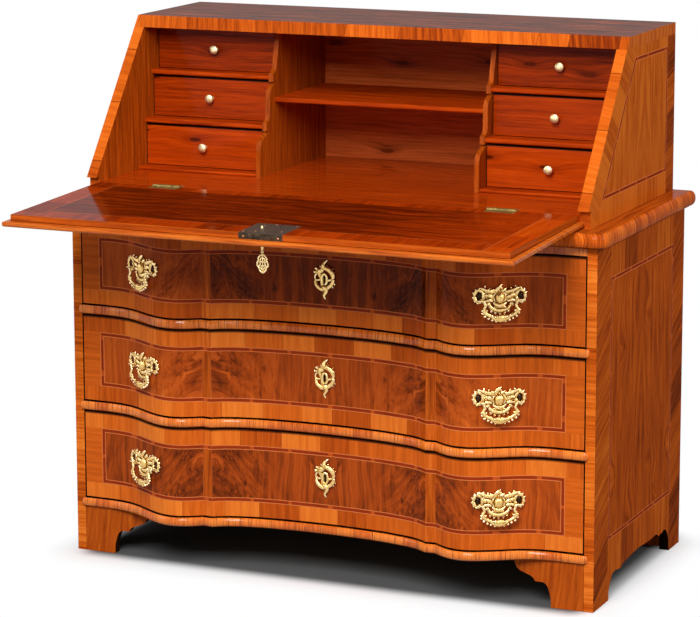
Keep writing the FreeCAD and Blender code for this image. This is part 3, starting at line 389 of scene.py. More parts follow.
def case_side(name):
    f = Finish(name)
    x, y, z = f.place()
    nx, ny = f.facing()[:2]
    start, stop = span("right_case_side")
    # widths of the crossbands round the field
    bottom_band, top_band, front_band, rear_band = 121.5, 68.5, 82.0, 70.0
    low, high = start.z + bottom_band, stop.z - top_band
    near, far = start.y + front_band, stop.y - rear_band
    # front crossband leans back, rear one too, those above and below stand upright
    front = y < near
    rear = y > far
    lean = 0.52
    tilt_along = y * math.cos(lean) + z * math.sin(lean)
    tilt_across = z * math.cos(lean) - y * math.sin(lean)
    tilted = front.most(rear)
    chance, joint = f.blocks(tilted.pick(y, z - y * 0.55), BLOCK, 3.1)
    tone = f.grain(tilted.pick(z, tilt_along), tilted.pick(y, tilt_across), chance * 9.0, 10.0, 8.0, 1.2)
    cross = f.ramp(tone * 0.8 + chance * 0.34 - 0.04 - rear * 0.12, *SIDE)
    cross = f.jointed(cross, joint, 0.45)
    # field: one cathedral-figured leaf with small knots
    centre, arch_at = (near + far) / 2, 380.0
    arch = (y - centre).abs() + (z - arch_at) * 0.05
    knot = f.cells(y / 130.0, z / 210.0)
    swirl = knot.ease(0.3, 0.0)
    plain = f.grain(z, arch + swirl * 26.0, 17.0, 46.0, 12.0, 1.5)
    field = f.ramp(plain * 0.8 + 0.1 - knot.ease(0.05, 0.02) * 0.14, *SIDE)
    inside = y.within(near, far) * z.within(low, high)
    colour = f.mix(inside, cross, field)
    level = (high - z).least(z - low)
    depth = (y - near).least(far - y)
    colour = inlaid_ring(f, level.least(depth), (depth < level).pick(y, z), colour, SIDE_BAND)
    # front edge: short pieces with level grain
    chip, gap = f.blocks(z, width=46.0, shift=1.7)
    edge_tone = f.grain(x, z, chip * 5.0, 6.0, 6.0, 1.1)
    edge = f.ramp(edge_tone * 0.9 + chip * 0.36 - 0.06, *PALE)
    edge = f.jointed(edge, gap, 0.5)
    colour = f.mix(ny < -SQUARE, colour, edge)
    # cut edges between the feet, and the inner face: painted shade
    behind_edge = 2.0
    sawn_shade = (z < low) * (nx.abs() < 0.5) * (y > start.y + behind_edge) * (ny < 0.5)
    colour = f.mix((x.abs() < start.x + SKIN).most(sawn_shade), colour, SHADE)
    return f.show(colour, rough=0.5, coat=0.02, coat_rough=0.12, bump=plain)


def desk_side(name):
    f = Finish(name)
    x, y, z = f.place()
    ny = f.facing()[1]
    start, stop = span("desk_right_side")
    # widths of the crossbands round the field, and the line along which the slanting one ends
    bottom_band, top_band, rear_band = 44.0, 19.7, 49.0
    low, high, far = start.z + bottom_band, stop.z - top_band, stop.y - rear_band
    slope, line_y, line_z = 0.757, 4.5, 793.0
    # how far behind the slanting edge's crossband
    slant = (y - line_y - (z - line_z) * slope) / math.hypot(1, slope)
    front = slant < 0.0
    rear = y > far
    # grain square to the slanting edge at the front, nearly level at the back
    climb = (y * slope + z) / math.hypot(1, slope)
    across = rear.pick(front.pick(y, climb), z - y * 0.3)
    along = rear.pick(front.pick(z, slant), y + z * 0.3)
    chance, joint = f.blocks(across, width=74.0, shift=8.4)
    tone = f.grain(along, across, chance * 9.0, 10.0, 8.0, 1.2)
    cross = f.ramp(tone * 0.7 + chance * 0.34 + 0.3 - rear * 0.36, *SIDE)
    cross = f.jointed(cross, joint, 0.45)
    arch_y, arch_z = 250.0, 900.0
    plain = f.grain(z, (y - arch_y).abs() + (z - arch_z) * 0.1, 4.0, 40.0, 12.0, 1.4)
    field = f.ramp(plain * 0.8 + 0.32, *SIDE)
    inside = (slant > 0.0) * (y < far) * z.within(low, high)
    colour = f.mix(inside, cross, field)
    level = (high - z).least(z - low)
    depth = slant.least(far - y)
    colour = inlaid_ring(f, level.least(depth), (depth < level).pick(y, z), colour, SIDE_BAND)
    # slanting edge: bright pieces with a few joints
    chip, gap = f.blocks(z, width=92.0, shift=4.2)
    edge_tone = f.grain(x, climb + x * 0.2, chip * 5.0, 8.0, 9.0, 1.4)
    edge = f.ramp(edge_tone * 0.45 + chip * 0.3 + 0.12, *PALE)
    edge = f.jointed(edge, gap, 0.7, half=0.9)
    colour = f.mix(ny < -SLANTED, colour, edge)
    inner = f.ramp(f.grain(z, y, 9.0, 16.0, 9.0, 1.3) * 0.8 + 0.12, *INNER)
    colour = f.mix(x.abs() < start.x + SKIN, colour, inner)
    return f.show(colour, rough=0.5, coat=0.02, coat_rough=0.12, bump=plain)


def desk_top(name):
    f = Finish(name)
    x, y, z = f.place()
    nx, ny, nz = f.facing()
    tone = f.grain(x, y, 6.0, 40.0, 13.0, 1.6)
    board = f.ramp(tone - 0.24, *FIELD)
    chip, gap = f.blocks(x, width=118.0, shift=0.4)
    edge_tone = f.grain(z, x + z * 0.35, chip * 5.0, 8.0, 8.0, 1.3)
    half_width = span("desk_top")[1].x
    # painted shade: the front edge grows darker towards the right end
    edge = f.ramp(edge_tone * 0.7 + chip * 0.36 - 0.09 - x / half_width * 0.12, *PALE)
    edge = f.jointed(edge, gap, 0.6, half=0.6)
    side = f.ramp(f.grain(z, y, 3.0, 8.0, 8.0, 1.2) + 0.24, *SIDE)
    colour = f.mix(ny < -SLANTED, board, edge)
    colour = f.mix(nx.abs() > SQUARE, colour, side)
    under = f.ramp(f.grain(x, y, 12.0), *FRUIT)
    colour = f.mix(nz < -SQUARE, colour, under)
    return f.show(colour, rough=0.45, coat=(nz > SQUARE).pick(0.05, 0.19), coat_rough=0.12, bump=tone)


def fall_front(name):
    """The flap: matched field, crossbanded ends and edges, and a band on its outer face."""
    f = Finish(name)
    x, y, z = f.place()
    start, stop = span("flap_panel")
    # how far below the inner face, straight down
    slope = -flap_up.y / flap_up.z
    sunk = y * slope + (hinge.z - hinge.y * slope) * MM_PER_M - z
    outer_from, seam_at, seam_half = 11.45, 12.05, 0.9
    outer = sunk > outer_from
    side = stop.x - x.abs()
    front = y - start.y
    border, edge_border, hinge_border = 52.0, 56.0, 34.5
    ends = side < border
    edges = (front < edge_border).most(y > stop.y - hinge_border) * (1.0 - ends)
    chance, joint = f.blocks(ends.pick(x, y), width=88.0, shift=5.3)
    tone = f.grain(y, x, chance * 9.0, 10.0, 9.0, 1.3)
    # painted light: the right end's crossbanding lighter
    lit_right_end = (x > 0.0) * ends * 0.2
    cross = f.ramp(tone * 0.7 + chance * 0.2 - 0.02 + lit_right_end, *FIELD[1:], (1.0, (222, 120, 52)))
    cross = f.jointed(cross, joint, 0.3)
    plain = f.grain(x, y, 21.0, 60.0, 15.0, 1.6)
    # painted light: the field lighter towards the right
    field = f.ramp(plain * 0.6 - 0.14 + x.ease(120.0, 480.0) * 0.22, *FRUIT)
    quiet = f.ramp(tone * 0.5 + chance * 0.2 + lit_right_end, *FRUIT)
    colour = f.mix(ends.most(edges), field, quiet)
    strings = (side - border).abs().least((front - edge_border).abs() + ends * 9.0) < 0.8
    colour = f.mix(strings * 0.35, colour, STRINGING)
    rim = (side - border).least(front - edge_border).least(stop.y - hinge_border - y)
    shown = f.mix(ends.most(edges), f.ramp(plain, *FIELD), cross)
    shown = inlaid_ring(f, rim, (side < front).pick(x, y), shown)
    colour = f.mix(outer, colour, shown)
    solid = f.ramp(f.grain(x, z * 1.6, 12.0, 10.0, 9.0, 1.3) * 0.7 + 0.16, *SIDE)
    rims = (front < 1.6).most(side < 1.0)
    colour = f.mix(rims, colour, solid)
    # painted shade: a dark line along the seam between the panel's edge and the lip
    seam_shade = (sunk - seam_at).abs() < seam_half
    colour = f.mix(rims * seam_shade * 0.75, colour, SHADE)
    return f.show(colour, rough=0.45, coat=rims.pick(0.24, 0.06), coat_rough=0.085, bump=plain, depth=0.01)


def solid_wood(name, along, across, stops, seed, knots=0.0, coat=0.1, lift=0.0, coat_rough=0.1, figure=0.75,
               box=None, sawn_shade=False):
    """Plain boards. along and across pick the grain's direction from x, y and z. box is a drawer
    front with a painted-shade line round it, sawn paints shade on the faces that don't look forwards."""
    f = Finish(name)
    x, y, z = f.place()
    u, v = along(x, y, z), across(x, y, z)
    if knots:
        spot = f.cells(u / 230.0 + seed, v / 74.0)
        tone = f.grain(u, v + spot.ease(0.3, 0.0) * 9.0, seed, 9.0, 6.0, 1.0) * figure
        tone = tone - spot.ease(0.07, 0.03) * knots - spot.ease(0.2, 0.03) * knots * 0.3
    else:
        tone = f.grain(u, v, seed, 22.0, 9.0, 1.2) * figure
    colour = f.ramp(tone + (1.0 - figure) * 0.5 + lift, *stops)
    # painted shade: a dark line round the drawer front, for the gap round it
    if box:
        low, high = box
        line = 1.2
        side = (x - low.x).least(high.x - x)
        rim = side.least((z - low.z).least(high.z - z - line))
        colour = f.mix(rim < line, colour, SHADE)
    # painted shade on the faces that don't look forwards
    if sawn_shade:
        colour = f.mix(f.facing()[1] > -0.5, colour, tint(52, 28, 12))
    return f.show(colour, rough=0.5, coat=coat, coat_rough=coat_rough, bump=tone)


def softwood():
    f = Finish("softwood")
    x, y, z = f.place()
    tone = f.grain(x + y, z + (x - y) * 0.05, 14.0, 20.0, 9.0, 1.6)
    colour = f.ramp(tone, (0.15, (150, 104, 58)), (0.5, (190, 146, 92)), (0.85, (212, 172, 118)))
    return f.show(colour, rough=0.7, coat=0.0, bump=tone, depth=0.08)


def gilt_brass(name):
    f = Finish(name)
    x, y, z = f.place()
    # pointiness darkens the hollows and lightens the ridges: partly tarnish in the hollows, partly painted
    # shade in them and painted highlights on the ridges
    edge = f.node("ShaderNodeNewGeometry", out="Pointiness")
    worn = f.noise(x / 4.0, y / 4.0, z / 4.0, 3.0, 0.6)
    tone = edge.ease(0.45, 0.55) * 0.85 + worn * 0.3 - 0.05
    colour = f.ramp(tone, (0.05, (46, 24, 8)), (0.3, (156, 108, 46)), (0.58, (222, 180, 102)),
                    (0.9, (255, 236, 184)))
    rough = (1.0 - tone) * 0.2 + 0.14
    chased = f.noise(x / 2.6, y / 2.6, z / 2.6, 2.0, 0.6)
    return f.show(colour, rough, coat=0.0, metal=1.0, gloss=0.5, bump=chased, depth=0.9)


def dark_iron(name, stops, metal=0.85, rough=0.28):
    f = Finish(name)
    x, y, z = f.place()
    patch = f.noise(x / 7.0, y / 7.0, z / 7.0, 4.0, 0.65)
    colour = f.ramp(patch, *stops)
    grit = f.noise(x / 0.9, y / 0.9, z / 0.9, 3.0, 0.6)
    return f.show(colour, patch * 0.35 + rough, coat=0.0, metal=metal, gloss=0.5, bump=grit, depth=0.08)


def turned_brass():
    f = Finish("knob_brass")
    x, y, z = f.place()
    stain = f.noise(x / 5.0, y / 5.0, z / 5.0, 3.0, 0.6)
    colour = f.ramp(stain, (0.25, (170, 134, 78)), (0.5, (236, 216, 164)), (0.75, (252, 240, 204)))
    return f.show(colour, stain * 0.2 + 0.36, coat=0.0, metal=1.0, gloss=0.5, bump=stain)


def along_x(x, y, z):
    return x


brass = gilt_brass("gilt_brass")
plain_brass = turned_brass()
iron = dark_iron("dark_iron", ((0.25, (28, 22, 16)), (0.5, (70, 58, 44)), (0.8, (112, 94, 70))))
hinge_brass = dark_iron("aged_brass", ((0.25, (78, 62, 28)), (0.55, (146, 122, 66)), (0.8, (200, 176, 116))))
blackened = dark_iron("blackened", ((0.3, (20, 12, 6)), (0.7, (64, 42, 22))), metal=0.8, rough=0.02)
# painted shade: a near-black finish for the keyhole's opening
keyhole_shade = Finish("painted_keyhole_shade").show(tint(6, 4, 3), rough=0.9, coat=0.0)
copper = dark_iron("copper_rivet", ((0.25, (150, 84, 50)), (0.6, (220, 150, 110))), metal=1.0)
# rails: top faces painted fully in shade, as well as undersides
rail_veneer = cross_grain("rail_crossgrain", lambda x, y: x + y * 0.3, lift=0.3, coat=0.5, top_shade=1.0,
                          spread=0.5)


def around(x, y):
    """Distance along the case-top moulding, front and sides."""
    return x + (x > 0.0).pick(-1.0, 1.0) * y


moulding_veneer = cross_grain("moulding_crossgrain", around, lift=0.02, coat=0.08, top_shade=0.0, spread=0.3)
fruitwood_level = solid_wood("fruitwood_level", along_x, lambda x, y, z: z + y * 0.6, FRUIT, seed=2.0)
# how light the side and the middle leaves are, partly the veneer's tone and partly painted shade of the flap
# on the top drawer, and how painted light shades the field from end to end
LEAF_TONE_AND_SHADE = {"top_drawer": (0.08, -0.12, -0.07), "middle_drawer": (0.11, 0.02, 0.0),
          "bottom_drawer": (-0.02, -0.04, 0.05)}
# how light each tier of small drawers is: painted shade, the upper tiers darker under the desk top
TIER_SHADING = {"upper": -0.2, "middle": -0.1, "lower": 0.02}
small_fronts = {}
for side in ("left", "right"):
    for tier, lift in TIER_SHADING.items():
        small_fronts[side, tier] = solid_wood(
            f"{side}_{tier}_fruitwood", along_x, lambda x, y, z: z + y * 0.4, FRUIT,
            seed=3.7 * len(small_fronts) + 1.0, knots=0.36, coat=0.12, lift=lift, figure=0.55,
            box=span(f"{side}_{tier}_small_drawer"))
partition_wood = solid_wood("fruitwood_partition", lambda x, y, z: z, lambda x, y, z: y + x, INNER,
                            seed=5.0, coat=0.25, lift=0.04, coat_rough=0.14)
back_wood = solid_wood("back_boards", along_x, lambda x, y, z: z + y, BOARD, seed=8.0, knots=0.7, coat=0.05)
writing_wood = solid_wood("desk_floor_walnut", along_x, lambda x, y, z: y, FRUIT, seed=9.0, coat=0.8,
                          lift=0.06, coat_rough=0.03)
top_wood = solid_wood("case_top_walnut", lambda x, y, z: y, lambda x, y, z: x, SIDE, seed=7.0, coat=0.2,
                      coat_rough=0.06)
# feet: faces that don't look forwards are painted in shade
foot_wood = solid_wood("foot_walnut", lambda x, y, z: z + x * 0.15, lambda x, y, z: x - z * 0.15, SIDE,
                       seed=11.0, coat=0.06, lift=0.04, sawn_shade=True)
lip_wood = solid_wood("lipping_walnut", along_x, lambda x, y, z: z * 1.6 + y, SIDE, seed=12.0, coat=0.3,
                      lift=0.2, figure=1.15)
pine = softwood()

case_veneer = case_side("case_side_veneer")
desk_veneer = desk_side("desk_side_veneer")
DRAWERS = ("top_drawer", "middle_drawer", "bottom_drawer")
finish_of = {
    "left_case_side": case_veneer, "right_case_side": case_veneer,
    "case_back": pine, "case_bottom": pine, "drawer_runners": pine,
    "base_rail": rail_veneer, "front_rails": rail_veneer, "feet": foot_wood,
    "case_top": top_wood, "case_top_moulding": moulding_veneer,
    "desk_left_side": desk_veneer, "desk_right_side": desk_veneer, "desk_top": desk_top("desk_top_veneer"),
    "desk_back": back_wood, "desk_floor": writing_wood, "desk_partitions": partition_wood,
    "bank_shelves": fruitwood_level, "centre_shelf": fruitwood_level,
    "hinge_floor_leaves": hinge_brass, "hinge_flap_leaves": hinge_brass,
    "flap_panel": fall_front("flap_veneer"), "flap_lipping": lip_wood,
    "flap_lock_case": iron, "flap_lock_bolt": iron, "flap_escutcheon": brass, "flap_key": brass,
}
for count, drawer in enumerate(DRAWERS):
    front = drawer + "_front"
    finish_of[front] = drawer_front(drawer + "_veneer", span(front), 3.0 + count * 0.35, *LEAF_TONE_AND_SHADE[drawer])
    for part, finish in (("box", pine), ("brasses", brass), ("left_bail", brass), ("right_bail", brass),
                         ("lock", iron), ("lock_bolt", iron)):
        finish_of[f"{drawer}_{part}"] = finish
for (side, tier), wood in small_fronts.items():
    finish_of[f"{side}_{tier}_small_drawer"] = wood
    finish_of[f"{side}_{tier}_knob"] = plain_brass
for name, node in nodes.items():
    node.data.materials.clear()
    node.data.materials.append(finish_of[name])


def placed(name, data):
    """A new object in the scene."""
    obj = bpy.data.objects.new(name, data)
    scene.collection.objects.link(obj)
    return obj


# Cast brasses

def smooth_path(points, steps=8):
    """Points on a smooth line through the rows of points."""
    p = np.array(points, float)
    p = np.vstack([2 * p[0] - p[1], p, 2 * p[-1] - p[-2]])
    rows = []
    for a, b, c, d in zip(p, p[1:], p[2:], p[3:]):
        for t in np.linspace(0, 1, steps, endpoint=False):
            rows.append(0.5 * (2 * b + (c - a) * t + (2 * a - 5 * b + 4 * c - d) * t * t
                               + (3 * b - a - 3 * c + d) * t ** 3))
    rows.append(p[-2])
    return np.array(rows)


def scroll(bm, points, flat=0.75, sides=10):
    """A tapering cast scroll. points are (across, up, out, radius) in millimetres."""
    rows = smooth_path(points)
    run = np.gradient(rows[:, :2], axis=0)
    rings = []
    for (s, h, d, r), (ts, th) in zip(rows, run):
        size = math.hypot(ts, th) or 1.0
        r = max(r, 0.2)
        ring = []
        for k in range(sides):
            a = 2 * math.pi * k / sides
            w = math.cos(a) * r
            o = math.sin(a) * r * flat
            ring.append(bm.verts.new(((s - th / size * w) * MM, -(d + o) * MM, (h + ts / size * w) * MM)))
        rings.append(ring)
    for a, b in zip(rings, rings[1:]):
        for k in range(sides):
            j = (k + 1) % sides
            bm.faces.new((a[k], a[j], b[j], b[k]))
    bm.faces.new(rings[0])
    bm.faces.new(list(reversed(rings[-1])))


def boss(bm, s, h, d, rs, rh, rd):
    """A dome, with its centre and its three half sizes in millimetres."""
    place = Matrix.Translation((s * MM, -d * MM, h * MM)) @ Matrix.Diagonal((rs * MM, rd * MM, rh * MM, 1))
    bmesh.ops.create_uvsphere(bm, u_segments=20, v_segments=12, radius=1.0, matrix=place)


def both(points):
    """The points as they are, and mirrored."""
    return [points, [(-p[0],) + tuple(p[1:]) for p in points]]


def cast(bm, voxel, soften):
    """Melts the overlapping forms into one skin and returns its mesh."""
    bmesh.ops.recalc_face_normals(bm, faces=bm.faces)
    mesh = bpy.data.meshes.new("casting")
    bm.to_mesh(mesh)
    bm.free()
    work = placed("casting", mesh)
    melt = work.modifiers.new("melt", "REMESH")
    melt.mode = "VOXEL"
    melt.voxel_size = voxel * MM
    fair = work.modifiers.new("fair", "SMOOTH")
    fair.factor = 0.5
    fair.iterations = soften
    done = bpy.data.meshes.new_from_object(work.evaluated_get(bpy.context.evaluated_depsgraph_get()))
    bpy.data.objects.remove(work)
    bpy.data.meshes.remove(mesh)
    return done


# places of a handle's posts on its plate, in millimetres
POST_X, POST_UP = 41, 13


def handle_plate():
    bm = bmesh.new()
    turn = np.linspace(0, 2 * math.pi, 17)
    # cushion in the middle and the frame round it
    boss(bm, 0, 10, 6.0, 8.8, 10.8, 6.8)
    scroll(bm, [(11.8 * math.cos(a), 10 + 11.8 * math.sin(a), 2.8, 2.0 + 0.4 * math.cos(4 * a))
                for a in turn])
    # thin ground behind the leaves
    for s, h, rs, rh in ((0, 10, 13, 14), (22, 14, 12, 8), (-22, 14, 12, 8), (0, -12, 15, 7), (0, 24, 8, 6)):
        boss(bm, s, h, 0.9, rs, rh, 1.6)
    # roll under the cushion
    scroll(bm, [(-13, 1, 4, 2.0), (-7, -3.4, 5.4, 3.2), (0, -5, 6, 3.6), (7, -3.4, 5.4, 3.2),
                (13, 1, 4, 2.0)])
    # crest
    scroll(bm, [(-8, 20, 3.6, 3.2), (-6, 25.5, 4.8, 4.2), (-2, 30.5, 5.4, 3.8), (2, 34, 5, 2.6),
                (4.4, 36, 4.2, 1.0)])
    scroll(bm, [(3, 22, 3.8, 3.2), (8, 25, 4.6, 3.2), (12, 27.5, 4, 1.2)])
    scroll(bm, [(-9, 22, 3.8, 2.8), (-14, 25, 4.4, 2.6), (-17, 28, 3.6, 1.0)])
    leaves = (
        [(10, 21, 3.4, 3.0), (18, 22.5, 5, 3.8), (26, 24.5, 5.2, 3.8), (34, 27.5, 4.6, 3.2),
         (42, 29.5, 3.4, 1.2)],
        [(19, 24, 4, 2.2), (21, 27.5, 4.2, 2.0), (20, 30.5, 3.6, 0.9)],
        [(28, 26, 4, 2.2), (30, 30, 4.2, 2.0), (29, 33, 3.6, 0.9)],
        [(13, 9, 3.8, 2.8), (18.5, 13, 5.4, 3.8), (25, 15, 5.2, 3.4), (32, 13, 4, 2.2)],
        [(14, 3, 3.6, 2.6), (20, 5, 4.8, 3.4), (27, 4, 4.6, 3.0), (34, 0, 3.4, 1.4)],
        [(19, -1, 3.6, 2.6), (24, -3, 4.4, 2.8), (27, -7, 3.6, 1.2)],
    )
    for leaf in leaves:
        for points in both(leaf):
            scroll(bm, points)
    # leafy rims round the posts
    for side in (-1, 1):
        c = POST_X * side
        scroll(bm, [(c + 9.0 * math.cos(a), POST_UP + 11.4 * math.sin(a), 3.8, 3.2 + 0.7 * math.cos(a * 5))
                    for a in turn])
        for k in range(6):
            a = math.radians(-75 + 33 * k)
            ds, dh = side * math.cos(a), math.sin(a)
            s, h = c + 9.6 * ds, POST_UP + 12.2 * dh
            scroll(bm, [(s, h, 4.2, 3.4), (s + 2.6 * ds, h + 2.8 * dh, 3.8, 2.4),
                        (s + 5 * ds, h + 5 * dh + 1, 3, 0.8)])
        boss(bm, 38 * side, 6, 4, 2.6, 2.6, 6.0)
    # apron: a smiling scroll hung with drops
    scroll(bm, [(-21, -2, 3.6, 2.4), (-17.5, -9, 4.6, 3.6), (-9, -13.6, 5.2, 4.0), (0, -15, 5.6, 4.2),
                (9, -13.6, 5.2, 4.0), (17.5, -9, 4.6, 3.6), (21, -2, 3.6, 2.4)])
    for s, h in ((-15.5, -12.5), (-8.4, -16), (0, -17.4), (8.4, -16), (15.5, -12.5)):
        scroll(bm, [(s, h, 4.6, 3.0), (s * 1.05, h - 3.6, 5.2, 2.9), (s * 1.08, h - 7, 4.4, 1.2)])
    return cast(bm, voxel=0.68, soften=1)


def bail_casting():
    bm = bmesh.new()
    leg = [(33, 6, 13, 2.6), (31, 1, 13.2, 2.8), (29.6, -4, 13.4, 2.9), (32, -8.5, 13.2, 3.2),
           (32.4, -14, 13, 4.2), (26.5, -20, 13, 3.4), (18.5, -24, 13, 3.0), (12, -28, 13, 4.0),
           (5, -29.6, 13.4, 4.4)]
    for points in both(leg):
        scroll(bm, points, 0.9)
    for side in (-1, 1):
        for s, h, d, r in ((35, -12.5, 13.6, 3.2), (35.2, -18, 13.2, 3.0), (30.5, -24, 13, 3.0),
                           (27.6, -13, 13.8, 2.6), (23.5, -28.4, 13, 2.6), (16.6, -31.4, 13, 2.7),
                           (17.5, -22.6, 13.8, 2.4)):
            boss(bm, s * side, h, d, r, r * 0.9, r * 0.9)
        scroll(bm, [(side * 2, -26.4, 15.6, 2.0), (side * 8, -25.4, 15.6, 2.4),
                    (side * 13, -24.5, 14.8, 1.2)], 0.8)
        scroll(bm, [(side * 32, 6, 13, 1.8), (side * 44, 6, 13, 1.8)], 1.0)
    scroll(bm, [(-14.5, -26.5, 13, 3.4), (-9, -28, 14.2, 5.8), (0, -28.4, 15, 7.0), (9, -28, 14.2, 5.8),
                (14.5, -26.5, 13, 3.4)], 0.5)
    for s in (-9, -3, 3, 9):
        boss(bm, s, -34, 13.4, 2.6, 2.2, 2.6)
    return cast(bm, voxel=0.68, soften=1)


def keyhole_plate():
    bm = bmesh.new()
    strokes = (
        # scroll on the right, and the lower one that it meets
        [(-4, 22, 3.6, 3.2), (3, 24.5, 4.6, 4.0), (11, 21.5, 5.2, 4.2), (17, 15.5, 5.2, 4.0),
         (19.2, 8.5, 4.6, 3.4), (18, 3.5, 4, 2.6)],
        [(20, 3, 4.4, 3.0), (18.5, -3, 4.6, 3.2), (15, -8.5, 4.4, 3.2), (10.5, -12.5, 4.2, 3.2),
         (5, -16, 4.2, 3.4)],
        [(18, 3, 3.8, 2.2), (12.5, 1.5, 3.8, 2.2), (7, -0.5, 3.8, 2.0)],
        # flame crest
        [(-1, 24, 4.2, 4.0), (-1.5, 29, 4.8, 3.8), (-0.5, 33.5, 4.4, 2.8), (3, 37.5, 3.6, 2.0),
         (6.6, 40.4, 3, 0.9)],
        [(2, 25, 4, 2.8), (5.5, 28, 3.8, 2.0), (7.8, 30.5, 3.2, 0.9)],
        [(-4, 24, 4, 3.6), (-7, 27.5, 3.8, 2.4), (-9, 30.5, 3.2, 0.9)],
        [(-7, 21, 4, 3.6), (-10.5, 23, 3.8, 2.4), (-13, 25, 3.2, 0.9)],
        # leaf on the left with its two twigs
        [(-3, 22, 4, 4.0), (-8, 18.5, 5, 4.4), (-10.5, 13.5, 4.6, 3.4), (-9, 8, 4, 2.4), (-6.5, 3, 3.6, 2.2)],
        [(-11, 17, 4, 2.2), (-15, 20.5, 3.8, 1.8), (-18.4, 23.6, 4.4, 2.4)],
        [(-11, 16, 4, 2.2), (-17, 15.8, 3.8, 1.8), (-21.5, 15.6, 4.4, 2.5)],
        # two openings on the left and the scroll below them
        [(-12, 13, 3.2, 1.5), (-17, 11.5, 3.2, 1.5), (-20, 6.5, 3.2, 1.4), (-18.5, 1.5, 3.2, 1.6),
         (-13, 0, 3.4, 1.8), (-7, 1.5, 3.4, 1.8)],
        [(-18.5, 1, 3.4, 1.9), (-18.5, -4, 3.8, 2.5), (-16.5, -9.5, 4.4, 3.2), (-11.5, -14, 5, 3.6),
         (-5.5, -17, 5.2, 3.8), (0, -17, 4.6, 3.4)],
        [(-6.5, 0, 3.6, 1.9), (-6, -6, 3.6, 2.0), (-4.5, -13, 3.8, 2.4)],
        # frills along the right edge
        [(14, 19, 4.4, 2.2), (17, 22, 4, 1.7), (18.6, 24.6, 3.4, 0.7)],
        [(18, 14.5, 4.2, 2.0), (21, 16.5, 3.8, 1.6), (22.8, 18.6, 3.2, 0.7)],
        [(19, -4, 4, 2.0), (21.6, -6, 3.6, 1.6), (22.6, -8.6, 3, 0.7)],
        [(15, -9.5, 4, 2.0), (17.4, -12, 3.6, 1.6), (18, -14.6, 3, 0.7)],
        # tail
        [(-4, -14, 4, 3.6), (2, -15, 5, 4.4), (4.5, -19.5, 4.8, 3.8), (3, -24, 4.2, 3.2),
         (0.2, -28.5, 3.6, 2.6), (-0.9, -31, 3.2, 2.2), (0.4, -35, 2.8, 1.6), (2.2, -38, 2.4, 0.8)],
        [(1, -21, 3.8, 2.2), (-2.6, -25, 3.2, 1.0)],
    )
    thicker = 1.25
    for points in strokes:
        scroll(bm, [(s, h, d, r * thicker) for s, h, d, r in points])
    # shield round the keyhole
    boss(bm, 0, 1, 1.6, 7.4, 12.4, 2.6)
    turn = np.linspace(0, 2 * math.pi, 21)
    scroll(bm, [(5.8 * math.cos(t), 1 + (11.2 if math.sin(t) > 0 else 10.6) * math.sin(t), 3.8, 2.6)
                for t in turn])
    return cast(bm, voxel=0.6, soften=1)


def lens_mesh(*lenses):
    """Dark lenses in a casting: the handles' dark posts, or painted shade in the keyhole, as (across, up,
    out, half width, half height, half depth).
    """
    bm = bmesh.new()
    for lens in lenses:
        boss(bm, *lens)
    mesh = bpy.data.meshes.new("opening")
    bm.to_mesh(mesh)
    bm.free()
    return mesh


def key_casting(length):
    """A key seen from the front, with its bow's lower end at height 0 and the shank going up to length."""
    bm = bmesh.new()
    mid = 19.3
    forms = (
        [(0, 17, 0, 1.7), (5.5, 14.5, 0, 2.0), (8.6, 9.5, 0, 1.9), (8, 5.5, 0, 1.9), (10.4, 2, 0, 2.1),
         (10.6, -4, 0, 2.0), (7.4, -8, 0, 1.9), (6.6, -11.5, 0, 1.9), (3.4, -15.6, 0, 1.9), (0, -17, 0, 1.8)],
        [(0, 12, 0, 1.4), (3.4, 9.5, 0, 1.5), (4.4, 5.5, 0, 1.5), (2, 3, 0, 1.4), (0, 4.2, 0, 1.3)],
        [(8, 5, 0, 1.4), (4.8, 1.5, 0, 1.5), (5.6, -3, 0, 1.4), (8, -5, 0, 1.3)],
        [(0, -13, 0, 1.4), (3.2, -9.5, 0, 1.4), (3, -5.5, 0, 1.4), (0, -4, 0, 1.4)],
    )
    for form in forms:
        for points in both([(s, h + mid, d, r) for s, h, d, r in form]):
            scroll(bm, points, 1.0)
    scroll(bm, [(0, mid - 16, 0, 1.3), (0, mid, 0, 1.2), (0, mid + 16, 0, 1.6)], 1.0)
    boss(bm, 0, mid - 17.2, 0, 2.4, 1.9, 1.9)
    for h, r in ((37, 3.4), (40.5, 4.0), (43.5, 3.4)):
        boss(bm, 0, h, 0, r, 1.7, r)
    scroll(bm, [(0, 34, 0, 2.7), (0, length - 0.4, 0, 2.7)], 1.0)
    bit = length - 1.8
    scroll(bm, [(0, bit, 0, 1.0), (8.0, bit, 0, 1.0)], 1.0)
    return cast(bm, voxel=0.5, soften=0)


# the front's profile, from rays 1 mm apart that start just inside its ends and below its top edge
END_INSET, TOP_INSET, RAY_START = 0.0005, 0.0045, -0.5
front_mesh = nodes["top_drawer_front"].data
front_tree = BVHTree.FromPolygons([v.co for v in front_mesh.vertices],
                                  [p.vertices for p in front_mesh.polygons])
front_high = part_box("top_drawer_front")[1]
profile_half = front_high.x - END_INSET
profile_x = np.linspace(-profile_half, profile_half, round(2 * profile_half / MM) + 1)
rays = [Vector((x, RAY_START, front_high.z - TOP_INSET)) for x in profile_x]
profile_y = np.array([front_tree.ray_cast(ray, Vector((0, 1, 0)))[0].y for ray in rays])


def front_y(x):
    return np.interp(x, profile_x, profile_y)


def front_slope(x):
    step = 0.004
    return (front_y(x + step) - front_y(x - step)) / (2 * step)


def columns(mesh):
    """The across, back and up coordinates of a casting's points."""
    co = np.empty(len(mesh.vertices) * 3)
    mesh.vertices.foreach_get("co", co)
    return co.reshape(-1, 3).T


